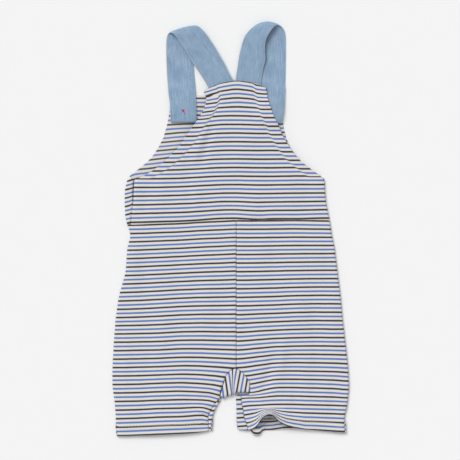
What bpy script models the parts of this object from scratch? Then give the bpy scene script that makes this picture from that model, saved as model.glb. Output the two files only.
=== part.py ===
"""Striped jersey shortalls for a small child, laid face down with the back uppermost.

Run with: blender --background --python part.py

The garment lies flat on its front. +Z is up, +Y runs from the leg hems to the
straps, +X is the wearer's right. The origin is on the floor, at the middle of the
garment's length and width. Sizes below are in millimetres.

Every cut piece is one sheet of cloth: a grid whose points are laid in place by the
sizes below, made a wall with Solidify. Front and back lie on each other and meet at
rounded side folds, like a flattened tube. Pieces stay SEAM apart where they are sewn.
"""

import math

import bmesh
import bpy
import numpy as np
from mathutils import Vector

MM = 0.001

# Cloth
JERSEY = 1.2
STRAP_CLOTH = 1.5
SEAM = 0.3
LAYER = 0.3

# The flattened tube of cloth
FOLD_HEIGHT = 4.5
FOLD_RADIUS = FOLD_HEIGHT / 2
QUARTER = math.pi * FOLD_RADIUS / 2
FOLD_GAP = 0.22
# Where the columns of a fold lie, as shares from its outermost point to the flat
FOLD_SHARES = (0.0, 0.07, 0.36, 0.68, 1.0)
BIB_RISE = 0.5
BACK_PUFF = 1.4

# Levels along the length
HEM_Y = -238.0
CROTCH_Y = -191.0
WAIST_Y = 12.0
ARMHOLE_Y = 61.5
FRONT_TOP_Y = 159.0
CENTRE_SEAM_X = 6.7

# Straps
STRAP_WIDTH = 30.8
STRAP_STEPS = 3
STRAP_COLUMNS = 4

# Buttons, on the front under the strap ends
BUTTON_RADIUS = 7.5
BUTTON_THICK = 2.2
SHANK_RADIUS = 1.3
BUTTON_LEFT = (-56.0, 140.0)
BUTTON_RIGHT = (47.5, 139.0)
BUTTON_HUMP = BUTTON_THICK + LAYER
HUMP_INNER = 9.0
HUMP_OUTER = 24.0
SHANK_TOP = BUTTON_HUMP + JERSEY
HOLE_LENGTH = 17.0
HOLE_WIDTH = 3.4

# The wave that lifts the back hem of the right leg
WAVE_X = 44.0
WAVE_LEFT = 10.0
WAVE_RIGHT = 15.0
WAVE_TOP_Y = -199.0
WAVE_PULL = 19.0
WAVE_RISE = 15.0

# The soft crease down the right leg
CREASE_X = 58.0
CREASE_WIDTH = 7.0
CREASE_RISE = 1.2
CREASE_Y = (-128.0, -190.0)

COLOURS = {
    "striped_jersey": ((0.62, 0.62, 0.64, 1.0), 0.9),
    "chambray": ((0.27, 0.40, 0.53, 1.0), 0.85),
    "button_plastic": ((0.75, 0.72, 0.66, 1.0), 0.35),
}


class Table:
    """A short table with named columns, read at any value of its first column."""

    def __init__(self, names, rows):
        self.names = names.split()
        self.rows = np.array(sorted(rows), float)
        self.top = float(self.rows[-1, 0])

    def __call__(self, name, where):
        xs = self.rows[:, 0]
        ys = self.rows[:, self.names.index(name)]
        return float(np.interp(where, xs, ys))


# The outline where front and back are one tube: the outermost points of both folds
SIDES = Table("y left right", [
    (61.5, -120.5, 110.5),
    (56, -123, 111),
    (46, -125, 111),
    (32, -125, 112.5),
    (17, -124, 115.5),
    (7, -120, 117.5),
    (-2, -118, 118.5),
    (-21, -122, 122.5),
    (-50, -124, 126),
    (-78, -132, 129.5),
    (-106, -136, 132),
    (-135, -138, 135.5),
    (-163, -139.5, 138.5),
    (-184, -139.5, 139.5),
    (-205, -136.5, 137.5),
    (-220, -135.5, 134),
    (-243, -133.5, 135.5),
])

# The inner folds of the two legs, and how far the front wraps up over each of them
INNER_LEFT = Table("y fold over", [
    (-199, -11.5, 4.0),
    (-203, -14.3, 4.0),
    (-207, -16.2, 4.2),
    (-211.5, -18.5, 5.0),
    (-218.5, -20.8, 6.8),
    (-226, -21.6, 6.0),
    (-236, -22.7, 4.2),
    (-243, -23, 4.0),
])
INNER_RIGHT = Table("y fold over", [
    (-194.5, 5.9, 7.2),
    (-198, 6.2, 7.6),
    (-206, 6.6, 8.0),
    (-211, 6.7, 9.4),
    (-221, 6.8, 10.2),
    (-228, 7.1, 12.2),
    (-235, 7.6, 14),
    (-243, 8.6, 14.5),
])

# The gusset's two side seams on the back
GUSSET = Table("y left right", [
    (-162.3, 4.0, 7.0),
    (-163.7, 1.0, 9.0),
    (-167.5, -2.2, 13.4),
    (-172.5, -5.9, 18.0),
    (-178.4, -7.9, 22.2),
    (-184.2, -10.0, 22.7),
    (-191.0, -12.2, 22.7),
    (-196.0, -12.4, 22.7),
])
GUSSET_TOP_Y = -163.7

# Its edge at the crotch: folded over on the left half, a seam on the right half
CROTCH = Table("x y", [
    (-13, -196.0),
    (-10, -195.6),
    (-3.4, -192.4),
    (1, -191.2),
    (5.0, -190.8),
])
CROTCH_SPLIT_X = 5.0
CROTCH_SEAM_Y = -191.0
UNDER_APEX_Y = -176.0
UNDER_LEFT_X = -10.5
UNDER_CLEAR = 3.0

# The waist seam and the two hems
WAIST = Table("x y", [(-121, 6.3), (-60, 9.2), (0, 12.9), (60, 12.3), (118, 12.2)])
HEM = Table("x y", [
    (-134, -242.6),
    (-83, -241.3),
    (-42, -239.2),
    (-23, -235.6),
    (7, -234),
    (22, -236.5),
    (88, -234.5),
    (106, -236.2),
    (136, -239.2),
])

# The back bib, a row of points across it at each level; crown bows the row upwards
BACK_BIB = [
    # left x, left y, right x, right y, crown, right edge turned down (0 to 1)
    (-118.4, 6.6, 117.4, 12.4, 3.4, 1.0),
    (-116.7, 20.0, 115.2, 20.0, 2.0, 1.0),
    (-114.8, 35.0, 112.2, 35.0, 1.5, 1.0),
    (-114.1, 50.0, 111.0, 50.0, 1.0, 1.0),
    (-113.0, 60.5, 110.6, 60.5, 0.0, 0.95),
    (-105.5, 63.6, 102.8, 67.5, 0.0, 0.45),
    (-93.7, 69.8, 95.3, 72.5, 0.0, 0.1),
    (-79.2, 80.5, 81.8, 83.0, 1.0, 0.0),
    (-68.7, 90.9, 73.5, 93.6, 1.5, 0.0),
    (-59.9, 100.3, 67.0, 103.0, 2.0, 0.0),
    (-53.3, 110.6, 60.7, 113.5, 2.0, 0.0),
    (-46.8, 120.7, 56.4, 125.0, 2.0, 0.0),
    (-39.2, 130.7, 51.2, 134.6, 2.0, 0.0),
    (-32.1, 142.0, 48.1, 143.5, 2.0, 0.0),
    (-28.1, 153.9, 44.6, 153.9, 4.0, 0.0),
    (-31.9, 164.7, 41.7, 168.5, 10.4, 0.0),
]

# The front bib: its edges, how far its left edge wraps on to the back, and how
# much each edge is turned up (0 lies flat, 1 makes the whole fold)
FRONT_BIB = Table("y left right over turn_left turn_right", [
    (159, -70.4, 57.6, 0, 0, 0),
    (138, -72, 59.8, 0, 0, 0),
    (124, -75, 61.7, 0, 0, 0),
    (109, -79.3, 65.3, 0, 0, 0),
    (97, -85.5, 70.5, 0, 0, 0),
    (88, -91.5, 76.5, 0, 0, 0),
    (81.7, -97.2, 81.5, 0, 0, 0),
    (74, -106, 91, 0, 0, 0.05),
    (68, -114, 100, 0, 0.05, 0.3),
    (64, -119, 106.5, 0, 0.5, 0.7),
    (61, -121, 110.5, 7.2, 1, 1),
    (56, -123, 111, 9.0, 1, 1),
    (46, -125, 111, 10.6, 1, 1),
    (32, -125, 112.5, 10.8, 1, 1),
    (20, -124.2, 115, 8.4, 1, 1),
    (12, -122, 116.5, 5.0, 1, 1),
    (6, -120, 117.6, 2.8, 1, 1),
])

# The middle line of each strap, from under the back bib to its end on the front
# bib. angle is the direction across the strap, in degrees from +X.
STRAPS = {
    "strap_left": [
        # x, y, z, angle
        (-7.9, 168.0, 2.7, 32.4),
        (-11.7, 173.9, 2.7, 32.4),
        (-27.4, 198.6, 3.0, 32.4),
        (-42.1, 222.2, 4.7, 31),
        (-51.3, 230.4, 5.4, 24),
        (-55.2, 234.0, 5.55, 17.5),
        (-56.4, 236.3, 3.15, 16),
        (-56.2, 234.0, 0.78, 14),
        (-57.6, 229, 0.78, 9),
        (-59.8, 216, 0.78, 4),
        (-59.8, 197, 0.78, 1),
        (-58.2, 173, 0.9, 3),
        (-57.0, 163.5, 2.5, 4),
        (-55.6, 148.0, 2.45, 3),
        (-55.3, 127.2, 2.4, 1),
    ],
    "strap_right": [
        (20.7, 165.0, 2.7, -4),
        (21.2, 175.6, 2.7, -4),
        (24.9, 198, 3.0, -7),
        (27.4, 214.5, 3.8, -12),
        (32.0, 225.5, 4.7, -20),
        (39.0, 232.4, 5.4, -19),
        (44.6, 236.0, 5.55, -14),
        (46.4, 238.2, 3.15, -12),
        (47.0, 235.9, 0.78, -10),
        (48.6, 229.5, 0.78, -6),
        (49.4, 217, 0.78, -2),
        (49.4, 197, 0.78, 0),
        (48.9, 173.0, 0.9, 0),
        (48.6, 163.5, 2.5, -2),
        (47.8, 146.0, 2.45, -4),
        (45.4, 127.2, 2.4, -7),
    ],
}


def mix(a, b, t):
    return a + (b - a) * t


def smoothstep(t):
    t = min(max(t, 0.0), 1.0)
    return t * t * (3 - 2 * t)


def hump(x, y, centres):
    """How far a button lifts the cloth that lies on it."""
    rise = 0.0
    for cx, cy in centres:
        distance = math.hypot(x - cx, y - cy)
        away = (distance - HUMP_INNER) / (HUMP_OUTER - HUMP_INNER)
        rise = max(rise, BUTTON_HUMP * (1 - smoothstep(away)))
    return rise


def edge_roll(along, turn):
    """The cloth's section at a fold: offset inwards and height above the floor.

    along is measured over the cloth from the fold's outermost point, positive on
    the front underneath and negative on the part that wraps on to the back.
    """
    if along > QUARTER:
        return FOLD_RADIUS + along - QUARTER, 0.0
    if along < -QUARTER:
        return FOLD_RADIUS - along - QUARTER, FOLD_HEIGHT * turn
    angle = along / FOLD_RADIUS
    inwards = FOLD_RADIUS * (1 - math.cos(angle))
    return inwards, turn * FOLD_RADIUS * (1 - math.sin(angle))


def wave(x, y):
    """The lifted hem of the right leg: pull towards the waist, and rise."""
    width = WAVE_LEFT if x < WAVE_X else WAVE_RIGHT
    across = math.exp(-(((x - WAVE_X) / width) ** 2))
    down = min(max((WAVE_TOP_Y - y) / (WAVE_TOP_Y - HEM_Y), 0.0), 1.1)
    return WAVE_PULL * across * down**3, WAVE_RISE * across * down**1.8


def crease(x, y):
    top, bottom = CREASE_Y
    along = min(max((top - y) / (top - bottom), 0.0), 1.0)
    across = math.exp(-(((x - CREASE_X) / CREASE_WIDTH) ** 2))
    return CREASE_RISE * across * math.sin(math.pi * along)


def bend_rows(x, y):
    """Bend straight rows near the waist seam and the hems to their curved edges."""
    at_waist = smoothstep((y - WAIST_Y + 40) / 40)
    at_hem = smoothstep((-200 - y) / (-200 - HEM_Y))
    return y + at_waist * (WAIST("y", x) - WAIST_Y) + at_hem * (HEM("y", x) - HEM_Y)


def sheet_object(name, columns, rows, place, wall, offset, material, drop_faces=None):
    """Lay a grid of cloth in place and give it its thickness."""
    mesh = bpy.data.meshes.new(name)
    grid = bmesh.new()
    bmesh.ops.create_grid(grid, x_segments=columns, y_segments=rows, size=1.0)
    cells = {}
    for vertex in grid.verts:
        i = round((vertex.co.x + 1) / 2 * columns)
        j = round((vertex.co.y + 1) / 2 * rows)
        cells[vertex] = (i, j)
    if drop_faces:
        unused = [f for f in grid.faces if drop_faces([cells[v] for v in f.verts])]
        bmesh.ops.delete(grid, geom=unused, context="FACES")
    for vertex in grid.verts:
        vertex.co = Vector(place(*cells[vertex])) * MM
    grid.to_mesh(mesh)
    grid.free()
    mesh.shade_smooth()
    mesh.materials.append(material)
    piece = bpy.data.objects.new(name, mesh)
    solid = piece.modifiers.new("Cloth thickness", "SOLIDIFY")
    solid.thickness = wall * MM
    solid.offset = offset
    return piece


def spaced(start, end, steps):
    return [mix(start, end, k / steps) for k in range(steps + 1)]


def heights(*runs):
    """Rows of a sheet from bottom to top, given as (from, to, steps) runs."""
    rows = []
    for start, end, steps in runs:
        rows += spaced(start, end, steps)[1 if rows else 0:]
    return rows


# Where the columns of a back leg lie, as shares from its outer fold to its inner
# seam; the right leg's are close together where its hem is lifted
LEFT_LEG_COLUMNS = spaced(0, 1, 9)[1:]
RIGHT_LEG_COLUMNS = spaced(0, 0.36, 3)[1:] + spaced(0.36, 1, 15)[1:]


def back_height(x, y, left, right):
    """The back's outer face between its two folds, before the wave."""
    across = min(max((x - left) / (right - left), 0.0), 1.0)
    rise = BIB_RISE * smoothstep((y - ARMHOLE_Y) / 30)
    return FOLD_HEIGHT + rise + BACK_PUFF * math.sin(math.pi * across) ** 0.8


def back_leg(name, side, material):
    """One back leg, from the waist seam to the hem, crotch cut-out included."""
    rolls = len(FOLD_SHARES) - 1
    spread = RIGHT_LEG_COLUMNS if side > 0 else LEFT_LEG_COLUMNS
    columns = rolls + len(spread)
    outer_side = "left" if side < 0 else "right"
    inner_fold = INNER_LEFT if side < 0 else INNER_RIGHT
    rows = heights((HEM_Y, -199, 7), (-199, -194.5, 1), (-194.5, -191, 1),
                   (-191, -184.2, 1), (-184.2, -172.5, 2), (-172.5, -163.7, 2),
                   (-163.7, -161, 1), (-161, WAIST_Y, 10))

    def inner_edge(y):
        """The centre seam, then the gusset's seam, then the seam by the inner fold."""
        if y > -162:
            return CENTRE_SEAM_X + side * SEAM / 2
        if y > inner_fold.top:
            return GUSSET(outer_side, y) + side * 2 * SEAM
        inwards, _ = edge_roll(-(inner_fold("over", y) + SEAM / 2), 1.0)
        return inner_fold("fold", y) + side * inwards

    def place(i, j):
        y = rows[j]
        outline = SIDES(outer_side, y)
        # k counts columns from the outer fold to the inner seam
        k = columns - i if side > 0 else i
        fall = 0.0
        if k <= rolls:
            inwards, height = edge_roll(mix(FOLD_GAP, QUARTER, FOLD_SHARES[k]), 1.0)
            x, fall = outline - side * inwards, height
        else:
            start = outline - side * FOLD_RADIUS
            x = mix(start, inner_edge(y), spread[k - rolls - 1])
        other = SIDES("right" if side < 0 else "left", y)
        if y < CROTCH_Y:
            other = inner_fold("fold", y)
        z = back_height(x, y, min(outline, other), max(outline, other)) - fall
        true_y = bend_rows(x, y) - SEAM / 2 * smoothstep((y - WAIST_Y + 20) / 20)
        if side > 0:
            pull, rise = wave(x, y)
            return x, true_y + pull, z + rise + crease(x, y)
        return x, true_y, z

    return sheet_object(name, columns, len(rows) - 1, place, JERSEY, -1.0, material)


def front_leg(name, side, material):
    """One front leg, flat on the floor and rolled up at its folds."""
    rolls, flats, wraps = len(FOLD_SHARES) - 1, 5, 7
    columns = rolls + flats + wraps
    rows = heights((HEM_Y, -200, 5), (-200, -197, 1), (-197, -176, 3),
                   (-176, -60, 4), (-60, WAIST_Y, 3))
    table = INNER_LEFT if side < 0 else INNER_RIGHT
    fold_top = -199 if side < 0 else -194.5

    def place(i, j):
        y = rows[j]
        k = columns - i if side > 0 else i
        outline = SIDES("left" if side < 0 else "right", y)
        folded = y < fold_top
        if folded:
            fold, over = table("fold", y), table("over", y) - SEAM / 2
            turn = 1.0
        else:
            fold, over, turn = CENTRE_SEAM_X + side * SEAM / 2, 0.0, 0.0
            apex = UNDER_APEX_Y + UNDER_CLEAR
            if side < 0 and y < apex:
                share = (apex - y) / (apex - CROTCH("y", -13))
                fold = mix(fold, UNDER_LEFT_X, min(share, 1.0)) - 2 * SEAM
        if k <= rolls:
            inwards, z = edge_roll(mix(FOLD_GAP, QUARTER, FOLD_SHARES[k]), 1.0)
            x = outline - side * inwards
        elif k <= rolls + flats:
            start = outline - side * FOLD_RADIUS
            end = fold + side * FOLD_RADIUS * (1 if folded else 2)
            x, z = mix(start, end, (k - rolls) / flats), 0.0
        else:
            share = (k - rolls - flats) / wraps
            if folded:
                inwards, z = edge_roll(mix(QUARTER, -over, share), turn)
                x = fold + side * inwards
            else:
                x, z = fold + side * 2 * FOLD_RADIUS * (1 - share), 0.0
        return x, bend_rows(x, y) - SEAM / 2 * smoothstep((y - WAIST_Y + 20) / 20), z

    return sheet_object(name, columns, len(rows) - 1, place, JERSEY, 1.0, material)


def back_bib(material):
    """The upper back, over the strap ends, with its two armhole edges."""
    rolls, flats = len(FOLD_SHARES) - 1, 13
    columns = flats + rolls
    rows = len(BACK_BIB) - 1

    def place(i, j):
        left_x, left_y, right_x, right_y, crown, turned = BACK_BIB[j]
        if i <= flats:
            across = i / flats
            x = mix(left_x, right_x - FOLD_RADIUS, across)
            fall = 0.0
        else:
            along = mix(FOLD_GAP, QUARTER, FOLD_SHARES[columns - i])
            inwards, fall = edge_roll(along, turned)
            x = right_x - inwards
        across = (x - left_x) / (right_x - left_x)
        y = mix(left_y, right_y, across) + 4 * crown * across * (1 - across)
        if j == 0:
            y = WAIST("y", x) + SEAM / 2
        z = back_height(x, y, SIDES("left", y), SIDES("right", y)) - fall
        return x, y, z + hump(x, y, [BUTTON_LEFT, BUTTON_RIGHT])

    return sheet_object("back_bib", columns, rows, place, JERSEY, -1.0, material)


def front_bib(material):
    """The upper front, underneath, lifted a little over the two buttons."""
    wraps, flats, rolls = 8, 16, len(FOLD_SHARES) - 1
    columns = wraps + flats + rolls
    rows = heights((WAIST_Y, 56, 4), (56, 61, 1), (61, 64, 1), (64, 68, 1),
                   (68, 116, 5), (116, FRONT_TOP_Y, 6))

    def place(i, j):
        y = rows[j]
        left, right = FRONT_BIB("left", y), FRONT_BIB("right", y)
        if i <= wraps:
            over = FRONT_BIB("over", y) - SEAM / 2
            along = mix(-max(over, -SEAM), QUARTER, i / wraps)
            inwards, z = edge_roll(along, FRONT_BIB("turn_left", y))
            x = left + inwards
        elif i <= wraps + flats:
            x = mix(left + FOLD_RADIUS, right - FOLD_RADIUS, (i - wraps) / flats)
            z = 0.0
        else:
            along = mix(FOLD_GAP, QUARTER, FOLD_SHARES[columns - i])
            inwards, z = edge_roll(along, FRONT_BIB("turn_right", y))
            x = right - inwards
        at_waist = smoothstep((WAIST_Y + 30 - y) / 30)
        true_y = y + at_waist * (WAIST("y", x) - WAIST_Y + SEAM / 2)
        return x, true_y, z + hump(x, true_y, [BUTTON_LEFT, BUTTON_RIGHT])

    return sheet_object("front_bib", columns, len(rows) - 1, place, JERSEY, 1.0, material)


def gusset(material):
    """The crotch piece: flat on the back, its left half folded under the crotch."""
    left_half, right_half = 6, 4
    top_rows, roll_rows, under_rows = 6, 5, 3
    columns = left_half + right_half
    rows = top_rows + roll_rows + under_rows
    inset = 2 * SEAM

    def place(i, j):
        # d counts rows from the top seam down to the crotch and round under it
        d = rows - j
        down = min(d / top_rows, 1.0)
        y = mix(GUSSET_TOP_Y - inset, CROTCH_SEAM_Y, down)
        left, right = GUSSET("left", y) + inset, GUSSET("right", y) - inset
        split = mix(mix(left, right, left_half / columns), CROTCH_SPLIT_X, down)
        if i <= left_half:
            x = mix(left, split, i / left_half)
            edge = CROTCH("y", x)
        else:
            x = mix(split, right, (i - left_half) / right_half)
            edge = CROTCH_SEAM_Y + inset
        y += down**2 * (edge - CROTCH_SEAM_Y)
        z = back_height(x, y, SIDES("left", y), SIDES("right", y))
        if d <= top_rows:
            return x, y, z
        radius = z / 2
        turned = min((d - top_rows) / roll_rows, 1.0)
        angle = math.pi * turned
        y -= radius * math.sin(angle)
        z -= radius * (1 - math.cos(angle))
        if d > top_rows + roll_rows:
            share = (d - top_rows - roll_rows) / under_rows
            apex = (x - UNDER_LEFT_X) / (CROTCH_SPLIT_X - UNDER_LEFT_X)
            reach = max(apex, 0.0) * (UNDER_APEX_Y - CROTCH_SEAM_Y - 4 * SEAM)
            y += share * max(reach, 1.0)
        return x, y, z

    def beyond(cells):
        """The right half stops at its seam, and the fold starts clear of the left leg."""
        below = all(rows - j >= top_rows for i, j in cells)
        return below and (min(i for i, j in cells) >= left_half
                          or max(i for i, j in cells) <= 1)

    return sheet_object("gusset", columns, rows, place, JERSEY, -1.0, material, beyond)


def smooth_path(points, steps):
    """Points along a smooth line through the given ones (Catmull-Rom)."""
    rows = np.array(points, float)
    padded = np.vstack([2 * rows[0] - rows[1], rows, 2 * rows[-1] - rows[-2]])
    path = []
    for k in range(len(rows) - 1):
        a, b, c, d = padded[k:k + 4]
        for s in range(steps):
            t = s / steps
            path.append(0.5 * (2 * b + (c - a) * t + (2 * a - 5 * b + 4 * c - d) * t**2
                               + (3 * b - a - 3 * c + d) * t**3))
    path.append(rows[-1])
    return np.array(path)


def strap(name, material):
    """A flat strap that lies along its middle line and turns over at the top."""
    path = smooth_path(STRAPS[name], STRAP_STEPS)
    tangents = np.gradient(path[:, :3], axis=0)
    rows = len(path) - 1

    def place(i, j):
        x, y, z, degrees = path[j]
        across = np.array([math.cos(math.radians(degrees)), math.sin(math.radians(degrees)), 0])
        forward = tangents[j] / np.linalg.norm(tangents[j])
        slant = math.sqrt(1 - min(float(forward @ across) ** 2, 0.6))
        reach = (i / STRAP_COLUMNS - 0.5) * STRAP_WIDTH / slant
        point = np.array([x, y, max(z, STRAP_CLOTH / 2 + 0.05)]) + reach * across
        if z < 3 and y < FRONT_TOP_Y + 4:
            point[2] += hump(point[0], point[1], [BUTTON_LEFT, BUTTON_RIGHT])
        return tuple(point)

    return sheet_object(name, STRAP_COLUMNS, rows, place, STRAP_CLOTH, 0.0, material)


def disc(name, radius, bottom, top, segments):
    shape = bmesh.new()
    bmesh.ops.create_cone(shape, cap_ends=True, segments=segments, radius1=radius * MM,
                          radius2=radius * MM, depth=(top - bottom) * MM)
    bmesh.ops.translate(shape, verts=shape.verts, vec=(0, 0, (bottom + top) / 2 * MM))
    mesh = bpy.data.meshes.new(name)
    shape.to_mesh(mesh)
    shape.free()
    return bpy.data.objects.new(name, mesh)


def button(name, centre, material, helpers):
    """A flat round button whose thread shank stands in the buttonhole."""
    piece = disc(name, BUTTON_RADIUS, 0, BUTTON_THICK, 24)
    piece.data.materials.append(material)
    shank = disc(name + "_shank", SHANK_RADIUS, BUTTON_THICK / 2, SHANK_TOP, 10)
    helpers.objects.link(shank)
    for thing in (piece, shank):
        thing.location = (centre[0] * MM, centre[1] * MM, 0)
    rim = piece.modifiers.new("Rounded rim", "BEVEL")
    rim.width = 0.5 * MM
    rim.segments = 2
    rim.limit_method = "ANGLE"
    rim.angle_limit = math.radians(40)
    join = piece.modifiers.new("Thread shank", "BOOLEAN")
    join.operation = "UNION"
    join.object = shank
    return piece


def buttonhole(name, centre, cloth, helpers):
    """The slot in the front bib that the button goes through."""
    mesh = bpy.data.meshes.new(name)
    shape = bmesh.new()
    bmesh.ops.create_cube(shape, size=1.0)
    size = Vector((HOLE_WIDTH, HOLE_LENGTH, 4 * FOLD_HEIGHT)) * MM
    bmesh.ops.scale(shape, verts=shape.verts, vec=size)
    shape.to_mesh(mesh)
    shape.free()
    slot = bpy.data.objects.new(name, mesh)
    slot.location = (centre[0] * MM, centre[1] * MM, 0)
    helpers.objects.link(slot)
    cut = cloth.modifiers.new(name, "BOOLEAN")
    cut.operation = "DIFFERENCE"
    cut.object = slot


def cloth_material(name):
    colour, roughness = COLOURS[name]
    material = bpy.data.materials.new(name)
    material.use_nodes = True
    shader = material.node_tree.nodes["Principled BSDF"]
    shader.inputs["Base Color"].default_value = colour
    shader.inputs["Roughness"].default_value = roughness
    shader.inputs["Metallic"].default_value = 0.0
    return material


def main():
    for old in list(bpy.data.objects):
        bpy.data.objects.remove(old, do_unlink=True)
    parts = bpy.data.collections.new("shortalls")
    helpers = bpy.data.collections.new("cutters")
    bpy.context.scene.collection.children.link(parts)
    bpy.context.scene.collection.children.link(helpers)
    jersey = cloth_material("striped_jersey")
    chambray = cloth_material("chambray")
    plastic = cloth_material("button_plastic")
    pieces = [
        front_leg("front_leg_left", -1, jersey),
        front_leg("front_leg_right", 1, jersey),
        front_bib(jersey),
        gusset(jersey),
        back_leg("back_leg_left", -1, jersey),
        back_leg("back_leg_right", 1, jersey),
        back_bib(jersey),
        strap("strap_left", chambray),
        strap("strap_right", chambray),
        button("button_left", BUTTON_LEFT, plastic, helpers),
        button("button_right", BUTTON_RIGHT, plastic, helpers),
    ]
    for piece in pieces:
        parts.objects.link(piece)
    buttonhole("buttonhole_left", BUTTON_LEFT, pieces[2], helpers)
    buttonhole("buttonhole_right", BUTTON_RIGHT, pieces[2], helpers)
    for helper in helpers.objects:
        helper.hide_render = True
        helper.display_type = "WIRE"


main()
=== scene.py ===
# %% [markdown]
# Striped shortalls for a small child, lying face down on a pale table with the back
# uppermost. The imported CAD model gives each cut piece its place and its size. This
# lesson lays thin cloth over those solids: striped jersey for the body, chambray for
# the straps, and then the seams, hems, stitches, buttons and thread.
#
# Sizes are in millimetres, as a garment maker would write them, and every point is
# multiplied by MM on its way into Blender, which works in metres.

import math

import bmesh
import bpy
import numpy as np
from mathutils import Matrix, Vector


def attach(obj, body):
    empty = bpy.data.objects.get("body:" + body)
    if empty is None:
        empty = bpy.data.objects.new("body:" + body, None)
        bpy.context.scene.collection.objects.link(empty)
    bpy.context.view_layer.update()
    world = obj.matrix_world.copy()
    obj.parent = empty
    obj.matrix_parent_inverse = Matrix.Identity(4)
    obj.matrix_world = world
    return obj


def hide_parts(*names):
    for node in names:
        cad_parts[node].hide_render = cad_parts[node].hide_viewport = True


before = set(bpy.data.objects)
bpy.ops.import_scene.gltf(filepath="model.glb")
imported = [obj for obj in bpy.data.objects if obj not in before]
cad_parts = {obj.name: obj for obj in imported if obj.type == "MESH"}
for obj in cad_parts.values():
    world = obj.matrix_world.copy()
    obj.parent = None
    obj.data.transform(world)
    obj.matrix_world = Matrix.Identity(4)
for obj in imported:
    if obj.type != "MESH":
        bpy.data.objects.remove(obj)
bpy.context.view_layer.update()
MM = 0.001
print("CAD nodes:", ", ".join(sorted(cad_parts)))

# %% [markdown]
# The table, the light and the camera come first, so that every test render is already
# lit like the photograph. It was taken straight down in a soft, even studio light. A
# long lens far above keeps the outline true: with a short lens the raised hem would
# lean outwards. A distant lamp as wide as a studio window, at the upper left, gives the
# faint shadows, and a bright world fills them in. A distant lamp was chosen because it
# lights the whole table evenly, as the photograph's plain ground shows.

# %% Table, light and camera
CAMERA_HEIGHT = 3.0
PHOTO_WIDTH = 0.5428
PHOTO_CENTRE = (-0.0008, 0.0003)
SENSOR = 36.0
TABLE_GREY = 0.90
LAMP_FROM = (-0.55, 0.75, 1.15)
LAMP_SPREAD = math.radians(34)
LAMP_STRENGTH = 1.98
FILL_STRENGTH = 0.52

scene = bpy.context.scene
scene.view_settings.view_transform = "Standard"
scene.view_settings.look = "None"

camera = bpy.data.objects.new("Camera above the table", bpy.data.cameras.new("Camera"))
camera.data.sensor_width = SENSOR
camera.data.lens = SENSOR * CAMERA_HEIGHT / PHOTO_WIDTH
camera.data.clip_end = 20.0
camera.location = (PHOTO_CENTRE[0], PHOTO_CENTRE[1], CAMERA_HEIGHT)
scene.collection.objects.link(camera)
scene.camera = camera

lamp = bpy.data.objects.new("Wide lamp", bpy.data.lights.new("Wide lamp", "SUN"))
lamp.data.angle = LAMP_SPREAD
lamp.data.energy = LAMP_STRENGTH
lamp.location = LAMP_FROM
lamp.rotation_euler = (-Vector(LAMP_FROM)).to_track_quat("-Z", "Y").to_euler()
scene.collection.objects.link(lamp)

world = bpy.data.worlds.new("Bright room")
scene.world = world
world.use_nodes = True
world.node_tree.nodes["Background"].inputs["Color"].default_value = (1.0, 1.0, 1.0, 1.0)
world.node_tree.nodes["Background"].inputs["Strength"].default_value = FILL_STRENGTH
print("camera", CAMERA_HEIGHT, "m up with a", round(camera.data.lens), "mm lens")

# %% [markdown]
# Materials are built from nodes. Wiring them one by one hides the idea behind a lot of
# typing, so this small helper does the wiring: each of its functions adds one node and
# hands back its output, and a formula can then be read like a formula.

# %% A helper for wiring materials


def colour(red, green, blue):
    """A colour as it looks on screen, 0 to 255, turned into the light Blender mixes."""
    shares = [value / 255 for value in (red, green, blue)]
    light = [s / 12.92 if s <= 0.04045 else ((s + 0.055) / 1.055) ** 2.4 for s in shares]
    return (*light, 1.0)


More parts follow.
